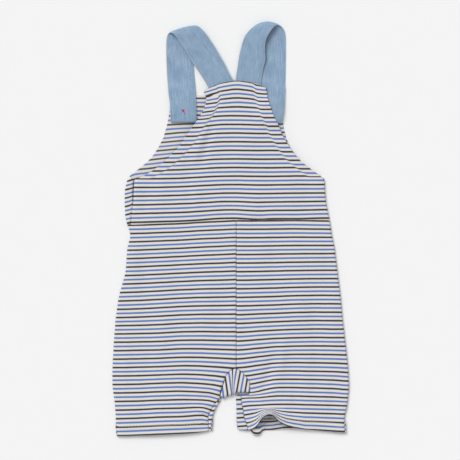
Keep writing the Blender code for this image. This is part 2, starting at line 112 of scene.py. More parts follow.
class Finish:
    """One material and the nodes that make its surface."""

    def __init__(self, name, roughness, sheen=0.0, sheen_roughness=0.5, specular=0.3):
        self.material = bpy.data.materials.new(name)
        self.material.use_nodes = True
        self.tree = self.material.node_tree
        self.shader = self.tree.nodes["Principled BSDF"]
        self.shader.inputs["Roughness"].default_value = roughness
        self.shader.inputs["Sheen Weight"].default_value = sheen
        self.shader.inputs["Sheen Roughness"].default_value = sheen_roughness
        self.shader.inputs["Specular IOR Level"].default_value = specular

    def node(self, kind, **settings):
        made = self.tree.nodes.new(kind)
        for name, value in settings.items():
            setattr(made, name, value)
        return made

    def feed(self, socket, value):
        """Join an output to a socket, or write a plain number or colour on it."""
        if isinstance(value, bpy.types.NodeSocket):
            self.tree.links.new(value, socket)
        else:
            socket.default_value = value

    def math(self, operation, *values):
        made = self.node("ShaderNodeMath", operation=operation)
        for socket, value in zip(made.inputs, values):
            self.feed(socket, value)
        return made.outputs[0]

    def step(self, value, low, high):
        """A soft step: 0 where the value is at low, 1 where it is at high."""
        made = self.node("ShaderNodeMapRange", interpolation_type="SMOOTHSTEP")
        for name, given in (("Value", value), ("From Min", low), ("From Max", high)):
            self.feed(made.inputs[name], given)
        return made.outputs["Result"]

    def blend(self, share, first, second):
        made = self.node("ShaderNodeMix", data_type="RGBA")
        self.feed(made.inputs["Factor"], share)
        self.feed(made.inputs[6], first)
        self.feed(made.inputs[7], second)
        return made.outputs[2]

    def grain(self, place, scale, detail=2.0):
        made = self.node("ShaderNodeTexNoise")
        self.feed(made.inputs["Vector"], place)
        made.inputs["Scale"].default_value = scale
        made.inputs["Detail"].default_value = detail
        return made.outputs["Fac"]

    def point(self, x, y, z=0.0):
        made = self.node("ShaderNodeCombineXYZ")
        for socket, value in zip(made.inputs, (x, y, z)):
            self.feed(socket, value)
        return made.outputs[0]

    def cloth_place(self):
        """Millimetres across and along the flat cloth, from the piece's own map."""
        chart = self.node("ShaderNodeUVMap", uv_map=CLOTH_MAP)
        split = self.node("ShaderNodeSeparateXYZ")
        self.tree.links.new(chart.outputs["UV"], split.inputs[0])
        across = self.math("MULTIPLY", split.outputs["X"], 1 / MM)
        along = self.math("MULTIPLY", split.outputs["Y"], 1 / MM)
        return across, along

    def finish(self, surface_colour, height=None, depth=0.1, strength=0.6):
        self.feed(self.shader.inputs["Base Color"], surface_colour)
        if height is not None:
            bump = self.node("ShaderNodeBump")
            bump.inputs["Strength"].default_value = strength
            bump.inputs["Distance"].default_value = depth * MM
            self.feed(bump.inputs["Height"], height)
            self.tree.links.new(bump.outputs["Normal"], self.shader.inputs["Normal"])
        return self.material


CLOTH_MAP = "Cloth"
print("materials read the map named", CLOTH_MAP)

# %% [markdown]
# The jersey is a cream knit with thin stripes, dark navy and mid blue in turn. A
# picture of stripes would blur up close and repeat, so the stripes come from a formula
# on the cloth's own map: the distance to the nearest repeat line. The knit shows in two
# ways. Its loops lean left and right in columns, called wales, so the edge of a stripe
# is a row of tiny teeth, and the same teeth give the bump. The wrong side, which faces
# inwards, has flatter loops that let the cream through the stripes.

# %% Striped jersey
STRIPE_REPEAT = 9.9
STRIPE_HALF = 1.08
STRIPE_EDGE = 0.26
WALE = 0.85
COURSE = STRIPE_REPEAT / 16
LOOP_LEAN = 0.36
WANDER = 0.35
CREAM = colour(229, 225, 219)
CREAM_SHADE = colour(219, 215, 210)
NAVY = colour(38, 34, 48)
BLUE = colour(80, 118, 192)


def striped_jersey(name, wrong_side=False):
    knit = Finish(name, roughness=0.9, sheen=0.12, sheen_roughness=0.45, specular=0.25)
    across, along = knit.cloth_place()
    # Loops lean up to the middle of each wale and down again
    lean = knit.math("DIVIDE", knit.math("PINGPONG", across, WALE / 2), WALE / 2)
    if wrong_side:
        lean = knit.math("SINE", knit.math("MULTIPLY", lean, math.pi / 2))
    drift = knit.grain(knit.point(across, along), 0.07)
    drift = knit.math("MULTIPLY", knit.math("SUBTRACT", drift, 0.5), WANDER)
    course_place = knit.math("ADD", along, knit.math("MULTIPLY", lean, LOOP_LEAN))
    course_place = knit.math("ADD", course_place, drift)
    to_navy = knit.math("PINGPONG", course_place, STRIPE_REPEAT / 2)
    to_blue = knit.math("SUBTRACT", STRIPE_REPEAT / 2, to_navy)
    inner, outer = STRIPE_HALF - STRIPE_EDGE / 2, STRIPE_HALF + STRIPE_EDGE / 2
    navy_share = knit.step(to_navy, outer, inner)
    blue_share = knit.step(to_blue, outer, inner)
    fleck = knit.grain(knit.point(across, along), 0.9, detail=3.0)
    cover = knit.math("MULTIPLY_ADD", fleck, 0.12, 0.90)
    if wrong_side:
        cover = knit.math("MULTIPLY_ADD", fleck, 0.15, 0.82)
    ground = knit.blend(fleck, CREAM_SHADE, CREAM)
    cloth = knit.blend(knit.math("MULTIPLY", navy_share, cover), ground, NAVY)
    cloth = knit.blend(knit.math("MULTIPLY", blue_share, cover), cloth, BLUE)
    loops = knit.math("DIVIDE", knit.math("PINGPONG", course_place, COURSE / 2), COURSE / 2)
    height = knit.math("ADD", loops, knit.math("MULTIPLY", lean, 0.8))
    height = knit.math("ADD", height, knit.math("MULTIPLY", fleck, 0.5))
    return knit.finish(cloth, height, depth=0.13, strength=0.5)


jersey = striped_jersey("Striped jersey, right side")
jersey_inside = striped_jersey("Striped jersey, wrong side", wrong_side=True)
print("stripes repeat every", STRIPE_REPEAT, "mm, wales every", WALE, "mm")

# %% [markdown]
# The straps are chambray: a plain weave with blue threads along the strap and white
# ones across it. The blue threads vary in thickness and dye, which shows as fine
# streaks down the length. Two noises stretched along the cloth make the streaks, and
# one sine for each thread direction makes the weave's bump. The folded edges are painted
# a little paler: partly wear, as on washed cloth, and partly a painted highlight where
# the rolled edge catches the light.

# %% Chambray
THREAD_STEP = 0.5
STRAP_WIDTH = 30.8
CHAMBRAY_BLUE = colour(112, 142, 172)
CHAMBRAY_PALE = colour(164, 186, 207)
CHAMBRAY_WORN_AND_HIGHLIT = colour(184, 201, 216)
WORN_AND_HIGHLIT_EDGE = 1.0


def chambray(name):
    weave = Finish(name, roughness=0.85, sheen=0.08, sheen_roughness=0.5, specular=0.25)
    across, along = weave.cloth_place()
    broad = weave.point(weave.math("MULTIPLY", across, 1.6), weave.math("MULTIPLY", along, 0.05))
    slub = weave.grain(broad, 1.0, detail=3.0)
    thin = weave.point(weave.math("MULTIPLY", across, 0.22), weave.math("MULTIPLY", along, 1.9))
    weft = weave.grain(thin, 1.0, detail=2.0)
    cloud = weave.grain(weave.point(across, along), 0.06, detail=2.0)
    tone = weave.math("MULTIPLY_ADD", weft, 0.35, weave.math("MULTIPLY", slub, 0.75))
    tone = weave.math("MULTIPLY_ADD", cloud, 0.35, tone)
    tone = weave.step(tone, 0.42, 1.03)
    cloth = weave.blend(tone, CHAMBRAY_BLUE, CHAMBRAY_PALE)
    # Paler within a millimetre of each folded edge: partly wear, partly a painted highlight on
    # the rolled edge
    to_edge = weave.math("SUBTRACT", STRAP_WIDTH / 2, weave.math("ABSOLUTE", across))
    worn_and_highlit = weave.math("MULTIPLY", weave.step(to_edge, WORN_AND_HIGHLIT_EDGE, 0.0), 0.55)
    cloth = weave.blend(worn_and_highlit, cloth, CHAMBRAY_WORN_AND_HIGHLIT)
    turn = math.pi / THREAD_STEP
    warp = weave.math("ABSOLUTE", weave.math("SINE", weave.math("MULTIPLY", across, turn)))
    filling = weave.math("ABSOLUTE", weave.math("SINE", weave.math("MULTIPLY", along, turn)))
    height = weave.math("MULTIPLY_ADD", slub, 0.8, weave.math("MULTIPLY", warp, filling))
    return weave.finish(cloth, height, depth=0.12, strength=0.5)


strap_cloth = chambray("Chambray")
print("chambray threads every", THREAD_STEP, "mm")

# %% [markdown]
# The jersey pieces all come from the same recipe. A flat grid of points stands for the
# cut piece. A placing function then says where each point lies on the table, and where
# it was on the flat cloth. The second answer goes into the map that the stripes read,
# so the stripes bend, rise and pinch exactly as the cloth does. Solidify gives the wall
# its thickness towards the inside, with the wrong side of the knit on that face.
#
# Moulding the points by sizes was chosen over a cloth simulation, because the folds
# have to be the ones in the photograph, and a simulation makes its own.

# %% Laying a piece of cloth
JERSEY_WALL = 0.8
# What a dressed piece's name adds to the name of the CAD node that it stands for
CLOTH_END = "_cloth"


def mix(a, b, t):
    return a + (b - a) * t


def smoothstep(t):
    t = np.clip(t, 0.0, 1.0)
    return t * t * (3 - 2 * t)


def mesh_from(name, shape):
    mesh = bpy.data.meshes.new(name)
    shape.to_mesh(mesh)
    shape.free()
    return mesh


def add_piece(name, mesh, *materials):
    for material in materials:
        mesh.materials.append(material)
    piece = bpy.data.objects.new(name, mesh)
    scene.collection.objects.link(piece)
    return piece


def lay_cloth(name, columns, rows, place, face_down=False, unused=None):
    """Make a piece of cloth whose points place(i, j) lays down, all of them at once."""
    grid = bmesh.new()
    bmesh.ops.create_grid(grid, x_segments=columns, y_segments=rows, size=1.0)
    if unused:
        faces = list(grid.faces)
        centres = (np.array([f.calc_center_median() for f in faces]) + 1) / 2
        drop = unused(centres[:, 0] * columns, centres[:, 1] * rows)
        dropped = [face for face, gone in zip(faces, drop) if gone]
        bmesh.ops.delete(grid, geom=dropped, context="FACES")
    if face_down:
        bmesh.ops.reverse_faces(grid, faces=grid.faces)
    mesh = mesh_from(name, grid)
    cells = np.empty(len(mesh.vertices) * 3)
    mesh.vertices.foreach_get("co", cells)
    cells = cells.reshape(-1, 3)
    i = np.rint((cells[:, 0] + 1) / 2 * columns)
    j = np.rint((cells[:, 1] + 1) / 2 * rows)
    x, y, z, across, along = place(i, j)
    mesh.vertices.foreach_set("co", (np.column_stack([x, y, z]) * MM).ravel())
    chart = mesh.uv_layers.new(name=CLOTH_MAP)
    corners = np.empty(len(mesh.loops), int)
    mesh.loops.foreach_get("vertex_index", corners)
    flat = np.column_stack([across, along])[corners] * MM
    chart.data.foreach_set("uv", flat.ravel())
    mesh.shade_smooth()
    piece = add_piece(name + CLOTH_END, mesh, jersey, jersey_inside)
    thickness = piece.modifiers.new("Cloth thickness", "SOLIDIFY")
    thickness.thickness = JERSEY_WALL * MM
    thickness.offset = -1.0
    thickness.material_offset = 1
    thickness.material_offset_rim = 0
    return piece


def dress(piece, node):
    """Attach a piece to the root and hide the CAD node that it stands for."""
    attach(piece, "root")
    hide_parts(node)


print("cloth walls are", JERSEY_WALL, "mm thick")

# %% [markdown]
# The outline of the laid garment is the CAD model's, in short tables: one row for each
# level, and the columns say where the side folds, the inner folds of the legs and the
# seams lie there. The CAD solids go straight from row to row. Cloth has no such
# corners, so the reader here averages a little either side of the level asked for.

# %% Outline tables
FOLD_HEIGHT = 4.5
FOLD_RADIUS = FOLD_HEIGHT / 2
QUARTER = math.pi * FOLD_RADIUS / 2
HEM_Y = -238.0
CROTCH_Y = -191.0
WAIST_Y = 12.0
ARMHOLE_Y = 61.5
CENTRE_SEAM_X = 6.7
SEAM_GAP = 0.08


class Outline:
    """A table of the laid outline with named columns, read with eased corners."""

    def __init__(self, names, rows, ease=4.0):
        self.names = names.split()
        self.rows = np.array(sorted(rows), float)
        self.shifts = ease * np.linspace(-1, 1, 5)

    def __call__(self, name, where):
        level, values = self.rows[:, 0], self.rows[:, self.names.index(name)]
        readings = [np.interp(where + shift, level, values) for shift in self.shifts]
        return np.mean(readings, axis=0)


SIDES = Outline("y left right", [
    (61.5, -120.5, 110.5),
    (56, -123, 111),
    (46, -125, 111),
    (32, -125, 112.5),
    (17, -124, 115.5),
    (7, -120, 117.5),
    (-2, -118, 118.5),
    (-21, -122, 122.5),
    (-50, -124, 126),
    (-78, -132, 129.5),
    (-106, -136, 132),
    (-135, -138, 135.5),
    (-163, -139.5, 138.5),
    (-184, -139.5, 139.5),
    (-205, -136.5, 137.5),
    (-220, -135.5, 134),
    (-243, -133.5, 135.5),
])
INNER_LEFT = Outline("y fold over", [
    (-199, -11.5, 4.0),
    (-203, -14.3, 4.0),
    (-207, -16.2, 4.2),
    (-211.5, -18.5, 5.0),
    (-218.5, -20.8, 6.8),
    (-226, -21.6, 6.0),
    (-236, -22.7, 4.2),
    (-243, -23, 4.0),
], ease=2.0)
INNER_RIGHT = Outline("y fold over", [
    (-194.5, 5.9, 7.2),
    (-198, 6.2, 7.6),
    (-206, 6.6, 8.0),
    (-211, 6.7, 9.4),
    (-221, 6.8, 10.2),
    (-228, 7.1, 12.2),
    (-235, 7.6, 14),
    (-243, 8.6, 14.5),
], ease=2.0)
FOLD_TOP_LEFT = -199.0
FOLD_TOP_RIGHT = -194.5
GUSSET = Outline("y left right", [
    (-162.3, 5.5, 7.0),
    (-163.7, 1.0, 9.0),
    (-167.5, -2.2, 13.4),
    (-172.5, -5.9, 18.0),
    (-178.4, -7.9, 22.2),
    (-184.2, -10.0, 22.7),
    (-191.0, -12.2, 22.7),
    (-196.0, -12.4, 22.7),
], ease=1.2)
GUSSET_TOP_Y = -163.7
CROTCH = Outline("x y", [
    (-13, -196.0),
    (-10, -195.6),
    (-3.4, -192.4),
    (1, -191.2),
    (5.0, -190.8),
], ease=1.0)
WAIST = Outline("x y", [(-121, 6.3), (-60, 9.2), (0, 12.9), (60, 12.3), (118, 12.2)], ease=15.0)
HEM = Outline("x y", [
    (-134, -242.6),
    (-83, -241.3),
    (-42, -239.2),
    (-23, -235.6),
    (7, -234),
    (22, -236.5),
    (88, -234.5),
    (106, -236.2),
    (136, -239.2),
], ease=6.0)


def bend_rows(x, y):
    """Bend straight rows near the waist seam and the hems to their curved edges."""
    at_waist = smoothstep((y - WAIST_Y + 40) / 40)
    at_hem = smoothstep((-200 - y) / (-200 - HEM_Y))
    return y + at_waist * (WAIST("y", x) - WAIST_Y) + at_hem * (HEM("y", x) - HEM_Y)


def around_fold(along, turn=1.0):
    """The cloth's section at a side fold: how far in, and how high above the table.

    along is measured over the cloth from the fold's outermost point: positive on the
    front underneath, negative on the part that wraps up on to the back.
    """
    angle = np.clip(along / FOLD_RADIUS, -math.pi / 2, math.pi / 2)
    past = np.clip(np.abs(along) - QUARTER, 0.0, None)
    inwards = FOLD_RADIUS * (1 - np.cos(angle)) + past
    return inwards, turn * FOLD_RADIUS * (1 - np.sin(angle))


hem_width = SIDES("right", HEM_Y) - SIDES("left", HEM_Y)
print("the laid garment is", round(float(hem_width)), "mm wide over both hems")

# %% [markdown]
# A striped knit shows every pull in the cloth, because the stripes stop being straight.
# On the photograph they sag towards the side seams and climb to the waist. The patches
# below hold how many millimetres a stripe sags at a few places of each panel. The places
# and the rounded values were chosen after the stripes had been measured there,
# and a point between them takes a value in between. The sag is added to the point's
# place on the flat cloth, so the formula for the stripes stays simple.

# %% How the stripes sag
LEG_PITCH = 9.865
LEG_FIRST_NAVY = 7.8
BIB_PITCH = 10.08
BIB_FIRST_NAVY = 14.9
EASE_ACROSS = 4.0
EASE_ALONG = 2.2

LEFT_LEG_SAG = ((-132, -106, -83, -59, -36, -29, -22, -14, -6, 5), [
    (10, 2.0, 1.6, 0.8, 0.0, -1.6, -1.9, -2.2, -2.5, -2.9, -3.5),
    (-30, 1.9, 1.2, 0.2, -0.9, -2.2, -2.5, -2.8, -3.0, -3.4, -4.0),
    (-90, 2.3, 1.5, 0.2, -1.2, -2.0, -2.1, -2.1, -2.2, -2.3, -2.6),
    (-130, 1.4, 1.0, 0.5, -0.9, -1.1, -1.0, -0.8, -0.6, -0.5, -0.5),
    (-160, 1.8, 1.2, 0.6, -0.5, -0.2, 0.2, 0.5, 0.9, 1.3, 2.2),
    (-171, 1.7, 1.4, 0.5, -0.5, 0.2, 0.8, 1.2, 2.0, 3.0, 4.0),
    (-182, 2.0, 1.5, 0.4, -0.2, 0.8, 1.4, 2.0, 3.2, 4.6, 6.0),
    (-193, 2.0, 1.6, 0.5, -0.2, 0.8, 1.2, 2.2, 5.0, 7.0, 8.0),
    (-202, 2.2, 1.6, 0.5, 0.0, 0.0, 0.6, 1.4, 4.4, 6.0, 7.0),
    (-211, 2.5, 1.8, 0.6, 0.2, -1.2, 0.0, 3.4, 5.0, 6.0, 6.0),
    (-218, 2.7, 1.9, 0.7, 0.3, -1.6, -1.0, 4.4, 5.0, 5.0, 5.0),
    (-226, 2.9, 2.1, 0.8, 0.3, -0.9, -0.6, 0.5, 3.0, 3.0, 3.0),
    (-240, 3.1, 2.2, 1.2, 0.2, -0.7, -1.6, -3.4, -4.0, -4.0, -4.0),
])
RIGHT_LEG_SAG = ((9, 20, 29, 41, 53, 76, 100, 124, 136), [
    (10, -3.5, -3.4, -3.4, -3.5, -3.6, -3.9, -3.4, -3.0, -3.0),
    (-30, -3.2, -3.2, -3.3, -3.5, -3.7, -4.1, -4.3, -4.5, -4.4),
    (-90, -1.8, -2.0, -2.3, -2.7, -3.0, -4.1, -4.5, -4.4, -4.2),
    (-130, 0.1, -0.5, -1.4, -2.2, -3.0, -3.8, -4.2, -3.9, -4.0),
    (-160, 1.9, 0.8, -0.5, -2.0, -3.9, -4.2, -3.8, -3.4, -2.6),
    (-171, 2.2, 1.5, 0.1, -1.8, -4.2, -4.3, -3.8, -3.3, -2.3),
    (-182, 2.4, 2.0, 0.5, -2.1, -4.4, -4.4, -3.8, -3.1, -1.9),
    (-191.5, 2.6, 2.4, 1.5, -2.1, -4.5, -4.3, -3.7, -2.9, -1.7),
    (-197, -1.0, -2.7, -2.1, -3.5, -4.4, -4.3, -3.6, -2.9, -2.0),
    (-207, -0.5, -2.8, -3.2, -3.9, -4.4, -4.2, -3.7, -3.0, -2.6),
    (-217, -0.5, -2.4, -3.2, -4.0, -4.6, -4.3, -3.8, -2.9, -2.6),
    (-240, -1.0, -2.6, -3.6, -4.2, -4.8, -5.0, -3.9, -2.2, -1.6),
])
FRONT_LEG_SAG = ((-24, -10, 8, 20, 45, 60), [
    (-160, 0.0, 0.0, 0.0, 0.0, 0.0, 0.0),
    (-199, 2.0, 2.0, -0.3, 0.0, 0.0, 0.0),
    (-210, 3.0, 3.0, 1.1, 1.0, -1.0, 0.0),
    (-221, 3.9, 3.9, 1.8, 1.2, -1.7, 0.0),
    (-240, 3.9, 3.9, 2.3, 1.4, -1.7, 0.0),
])
BIB_SAG = ((-114, -83, -59, -47, -36, -30, -24, -12, 6, 23, 35, 47, 82, 106), [
    (15, 5.4, 4.5, 3.9, 3.3, 2.6, 2.0, 1.5, 0.7, 0.4, 1.6, 2.2, 1.2, 1.2, 0.3),
    (35, 5.0, 4.5, 3.7, 3.3, 2.5, 2.3, 2.1, 1.2, 1.1, 1.8, 2.0, 1.7, 1.2, 0.9),
    (65, 4.2, 4.5, 3.9, 3.2, 2.7, 2.3, 1.9, 1.6, 1.3, 1.5, 1.8, 1.7, 1.2, 1.4),
    (95, 4.2, 4.6, 4.2, 3.8, 3.6, 2.8, 2.1, 1.4, 1.2, 1.5, 1.5, 1.4, 1.4, 1.4),
    (126, 4.4, 4.4, 4.2, 4.1, 3.8, 3.2, 2.2, 1.1, 0.9, 1.4, 1.7, 1.6, 1.6, 1.6),
    (140, 4.4, 4.4, 4.2, 4.1, 4.0, 3.4, 2.0, 1.2, 0.7, 1.2, 1.9, 1.8, 1.8, 1.8),
    (151, 4.8, 4.8, 4.8, 4.6, 4.4, 4.0, 3.0, 1.5, -0.1, 0.8, 2.6, 2.4, 2.4, 2.4),
    (163, 9.6, 9.6, 9.6, 9.6, 9.6, 8.4, 5.2, 2.1, -0.5, 1.3, 4.3, 4.4, 4.4, 4.4),
    (172, 9.6, 9.6, 9.6, 9.6, 9.6, 8.8, 6.2, 2.6, -0.6, 1.6, 4.6, 5.0, 5.0, 5.0),
])
FRONT_BIB_SAG = ((-124, -113, -96, -77, -60, -44, 0, 110), [
    (8, 7.2, 4.0, 2.0, 0.0, 0.0, 0.0, 0.0, 0.0),
    (30, 7.5, 3.0, 2.0, 0.0, 0.0, 0.0, 0.0, 0.0),
    (50, 7.8, 4.2, 2.2, 0.0, -1.0, -1.0, 0.0, 0.0),
    (60, 8.6, 4.3, 2.4, -0.3, -2.0, -2.0, 0.0, 0.0),
    (72, 5.0, 3.8, 2.2, -0.7, -2.5, -2.5, 0.0, 0.0),
    (85, 3.6, 3.6, 2.4, 0.1, -1.8, -2.2, 0.0, 0.0),
    (104, 3.0, 3.0, 3.0, 1.5, -0.2, -1.5, 0.0, 0.0),
    (114, 3.0, 3.0, 3.0, 2.2, 0.3, -0.6, 0.0, 0.0),
    (125, 3.0, 3.0, 3.0, 1.3, 0.4, -0.2, 0.0, 0.0),
    (159, 0.3, 0.3, 0.3, 0.3, 0.3, 0.3, 0.0, 0.0),
])


def sag(patch, x, y):
    """Read a patch of sags at any place, easing between its rows and columns."""
    columns, rows = patch
    rows = sorted(rows)
    levels = [row[0] for row in rows]
    total = 0.0
    corners = [(EASE_ACROSS * a, EASE_ALONG * b) for a in (-1, 1) for b in (-1, 1)]
    for dx, dy in [(0, 0)] + corners:
        at_rows = [np.interp(x + dx, columns, row[1:]) for row in rows]
        up = np.interp(y + dy, levels, range(len(rows)))
        lower = np.clip(np.floor(up).astype(int), 0, len(rows) - 2)
        stack = np.array(at_rows)
        one = np.take_along_axis(stack, lower[None], 0)[0]
        two = np.take_along_axis(stack, lower[None] + 1, 0)[0]
        total = total + mix(one, two, up - lower)
    return total / (1 + len(corners))


def leg_stripes(patch, x, y):
    """Where a point of a leg was along the flat cloth; navy lies at each repeat."""
    return (y + sag(patch, x, y) - LEG_FIRST_NAVY) * STRIPE_REPEAT / LEG_PITCH


def bib_stripes(patch, x, y):
    return (y + sag(patch, x, y) - BIB_FIRST_NAVY) * STRIPE_REPEAT / BIB_PITCH


print("stripes repeat every", LEG_PITCH, "mm on the legs and", BIB_PITCH, "mm on the bib")

# %% [markdown]
# Cloth that lies flat still has soft folds: where a body will be, where it was folded
# in a drawer, and where a seam draws it in. Each fold here is one line of numbers: its
# two ends, half its width, and how high it stands, or how deep if the number is
# negative. They are uneven on purpose, since even folds look like corrugated card.

# %% Soft folds
BACK_BIB_FOLDS = [
    # from x, from y, to x, to y, half width, height
    (-17, 138, -37, 68, 4.5, -1.3),
    (-27, 132, -47, 72, 5.0, 1.3),
    (-50, 108, -49, 10, 5.5, -0.8),
    (-38, 70, -40, 8, 6.0, 0.6),
    (-78, 82, -84, 14, 8.0, 0.7),
    (-98, 62, -102, 10, 5.0, -0.6),
    (12, 130, 18, 60, 9.0, 0.5),
    (36, 120, 50, 40, 7.0, -0.5),
    (62, 92, 74, 18, 8.0, 0.6),
    (92, 66, 88, 10, 6.0, -0.6),
    (-8, 60, -2, 8, 9.0, -0.5),
    (30, 48, 26, 6, 7.0, 0.5),
    (-30, 160, -20, 146, 3.5, -0.9),
]
LEFT_LEG_FOLDS = [
    (-118, -6, -116, -86, 7.0, 1.0),
    (-100, -16, -102, -120, 6.0, -0.7),
    (-64, 2, -58, -120, 9.0, -0.8),
    (-80, -60, -84, -180, 9.0, 0.8),
    (-26, -20, -32, -150, 9.0, 0.8),
    (-8, -70, -14, -150, 6.0, -0.5),
    (-98, -130, -100, -228, 8.0, -0.7),
    (-122, -110, -126, -210, 6.0, 0.7),
    (-50, -150, -44, -214, 7.0, -0.7),
    (-66, -190, -60, -238, 8.0, 0.6),
    (-37, -210.5, -24, -217.5, 2.0, 1.6),
    (-38, -214.5, -25, -221.5, 2.0, -1.3),
    (-34, -204, -18, -205, 3.0, 0.9),
]
RIGHT_LEG_FOLDS = [
    (52, -142, 37, -196, 6.0, -1.6),
    (63, -122, 56, -192, 6.0, 1.3),
    (30, -10, 34, -110, 9.0, 0.7),
    (48, 0, 54, -90, 7.0, -0.7),
    (78, -20, 84, -130, 9.0, 0.8),
    (98, -70, 102, -190, 7.0, -0.8),
    (120, -60, 124, -160, 7.0, 0.8),
    (112, -6, 116, -60, 6.0, -0.6),
    (86, -150, 92, -226, 8.0, 0.8),
    (76, -176, 74, -232, 5.0, -0.7),
    (122, -170, 118, -232, 6.0, -0.8),
    (20, -194, 34, -203, 3.0, -0.8),
    (20, -100, 14, -160, 7.0, -0.5),
]
FRONT_FOLDS = [
    (-96, -20, -90, -140, 9.0, 0.5),
    (-52, -40, -60, -190, 8.0, 0.5),
    (-22, -10, -26, -120, 7.0, 0.4),
    (40, -20, 36, -130, 8.0, 0.5),
    (84, -30, 90, -170, 9.0, 0.5),
    (112, -120, 108, -220, 6.0, 0.4),
    (-112, -150, -108, -226, 6.0, 0.4),
    (-30, 110, -44, 30, 7.0, 0.5),
    (20, 130, 30, 40, 8.0, 0.5),
    (74, 70, 80, 16, 6.0, 0.4),
    (-84, 74, -90, 20, 6.0, 0.4),
]


def fold_relief(x, y, folds):
    """How much the soft folds raise or lower the cloth at a place."""
    relief = np.zeros_like(x)
    for x0, y0, x1, y1, half, height in folds:
        length = math.hypot(x1 - x0, y1 - y0)
        dx, dy = (x1 - x0) / length, (y1 - y0) / length
        along = ((x - x0) * dx + (y - y0) * dy) / length
        aside = (x - x0) * dy - (y - y0) * dx
        ends = np.sin(math.pi * np.clip(along, 0, 1)) ** 0.8
        relief = relief + height * ends * np.exp(-((aside / half) ** 2))
    return relief


def slack(x, y, amount=0.16):
    """A faint unevenness that no cloth is free of."""
    return amount * (np.sin(x / 11.3 + 1.7 * np.sin(y / 23.1)) * np.cos(y / 17.9)
                     + 0.6 * np.sin(x / 5.9 - y / 13.7))


folds_set = len(BACK_BIB_FOLDS + LEFT_LEG_FOLDS + RIGHT_LEG_FOLDS + FRONT_FOLDS)
print(folds_set, "soft folds are set by hand")

# %% [markdown]
# Two pieces of jersey are sewn with their edges turned inside, so a seam on the right
# side is a fine valley: both edges dive into it. A hem is cloth turned up inside and
# stitched down. Here the grid itself goes round the edge and back up inside, as the
# real cloth does, which gives the soft double edge that a flat cut could never have.

# %% Seams and hems
SEAM_DIVE = 1.0
SEAM_REACH = 1.3
CENTRE_SEAM_SHARE = 0.6
HEM_RADIUS = 0.9
HEM_BAND = 13.0
TURN_STEPS = 5
BAND_STEPS = 5
HEM_ROWS = TURN_STEPS + BAND_STEPS
BACK_PUFF = 1.4
BIB_RISE = 0.5
BUTTONS = {"button_left": (-56.0, 140.0), "button_right": (47.5, 139.0)}
BUTTON_THICK = 2.2
BUTTON_HUMP = 2.5
HUMP_INNER = 9.0
HUMP_OUTER = 24.0


def seam_valley(distance):
    """How deep the cloth dives at this distance from a seam."""
    return SEAM_DIVE * np.exp(-((np.clip(distance, 0, None) / SEAM_REACH) ** 2))


def turned_edge(steps, band):
    """A hem's section, counted in steps from where the cloth starts to turn under."""
    angle = math.pi * np.clip(steps / TURN_STEPS, 0, 1)
    inside = np.clip((steps - TURN_STEPS) / BAND_STEPS, 0, 1) * band
    inwards = HEM_RADIUS * (1 - np.sin(angle)) + inside
    depth = HEM_RADIUS * (1 - np.cos(angle))
    return inwards, depth, HEM_RADIUS * angle + inside


def hemmed_rows(j, body_rows, crowding=1.0):
    """Rows from the turned-in edge of a hem up to the waist seam.

    Returns where each row lies, where it was on the flat cloth, and how deep it turns.
    """
    inwards, depth, travelled = turned_edge(np.clip(HEM_ROWS - j, 0, None), HEM_BAND)
    share = np.clip((j - HEM_ROWS) / body_rows, 0, 1) ** crowding
    on_turn = j < HEM_ROWS
    y = np.where(on_turn, HEM_Y + inwards, mix(HEM_Y + HEM_RADIUS, WAIST_Y, share))
    cut_y = np.where(on_turn, HEM_Y + HEM_RADIUS - travelled, y)
    return y, cut_y, depth


def below_waist(x, y):
    """The bent rows, held a hair clear of the waist seam."""
    return bend_rows(x, y) - SEAM_GAP * smoothstep((y - WAIST_Y + 20) / 20)


def back_height(x, y, left, right):
    """The back's outer face between its two folds."""
    share = np.clip((x - left) / (right - left), 0.0, 1.0)
    rise = BIB_RISE * smoothstep((y - ARMHOLE_Y) / 30)
    return FOLD_HEIGHT + rise + BACK_PUFF * np.sin(math.pi * share) ** 0.8


def over_buttons(x, y):
    """How far the buttons underneath lift the cloth that lies on them."""
    lift = np.zeros_like(x)
    for cx, cy in BUTTONS.values():
        away = (np.hypot(x - cx, y - cy) - HUMP_INNER) / (HUMP_OUTER - HUMP_INNER)
        lift = np.maximum(lift, BUTTON_HUMP * (1 - smoothstep(away)))
    return lift


print("hems are turned up", HEM_BAND, "mm")

# %% [markdown]
# The back of each leg runs from the waist seam to the hem. Its outer side rolls down
# into the side fold, and its inner side follows the centre seam, then the gusset, then
# the seam beside the inner fold. The right leg's hem is lifted in the photograph: the
# cloth stands up in an arch and shows the inside of the front. A table gives the arch
# its uneven outline, steep on the left and long on the right, and the last stripes
# gather on the steep part of it.

# %% Back legs
ROLL_COLUMNS = 6
LEG_COLUMNS = 92
LEG_ROWS = 172
WAVE_X = 45.4
WAVE_TOP_Y = -199.0
WAVE_PULL = 20.0
WAVE_RISE = 15.5
WAVE_STEEP = 0.27
WAVE = Outline("offset share", [
    (-26, 0.0),
    (-21, 0.05),
    (-16.5, 0.17),
    (-13, 0.37),
    (-9.5, 0.72),
    (-4.5, 0.94),
    (0, 1.0),
    (4.5, 0.94),
    (8.5, 0.68),
    (12.5, 0.46),
    (21, 0.22),
    (29, 0.11),
    (42, 0.0),
], ease=1.6)


def lifted_hem(x, y):
    """How far the arch pulls a point of the right leg up the garment, and raises it."""
    share = WAVE("share", x - WAVE_X)
    down = np.clip((WAVE_TOP_Y - y) / (WAVE_TOP_Y - HEM_Y), 0.0, 1.0)
    pull = np.clip((down - WAVE_STEEP) / (1 - WAVE_STEEP), 0.0, 1.0)
    rise = np.clip((down - WAVE_STEEP / 2) / (1 - WAVE_STEEP / 2), 0.0, 1.0) ** 1.3
    return WAVE_PULL * share * pull, WAVE_RISE * share * rise


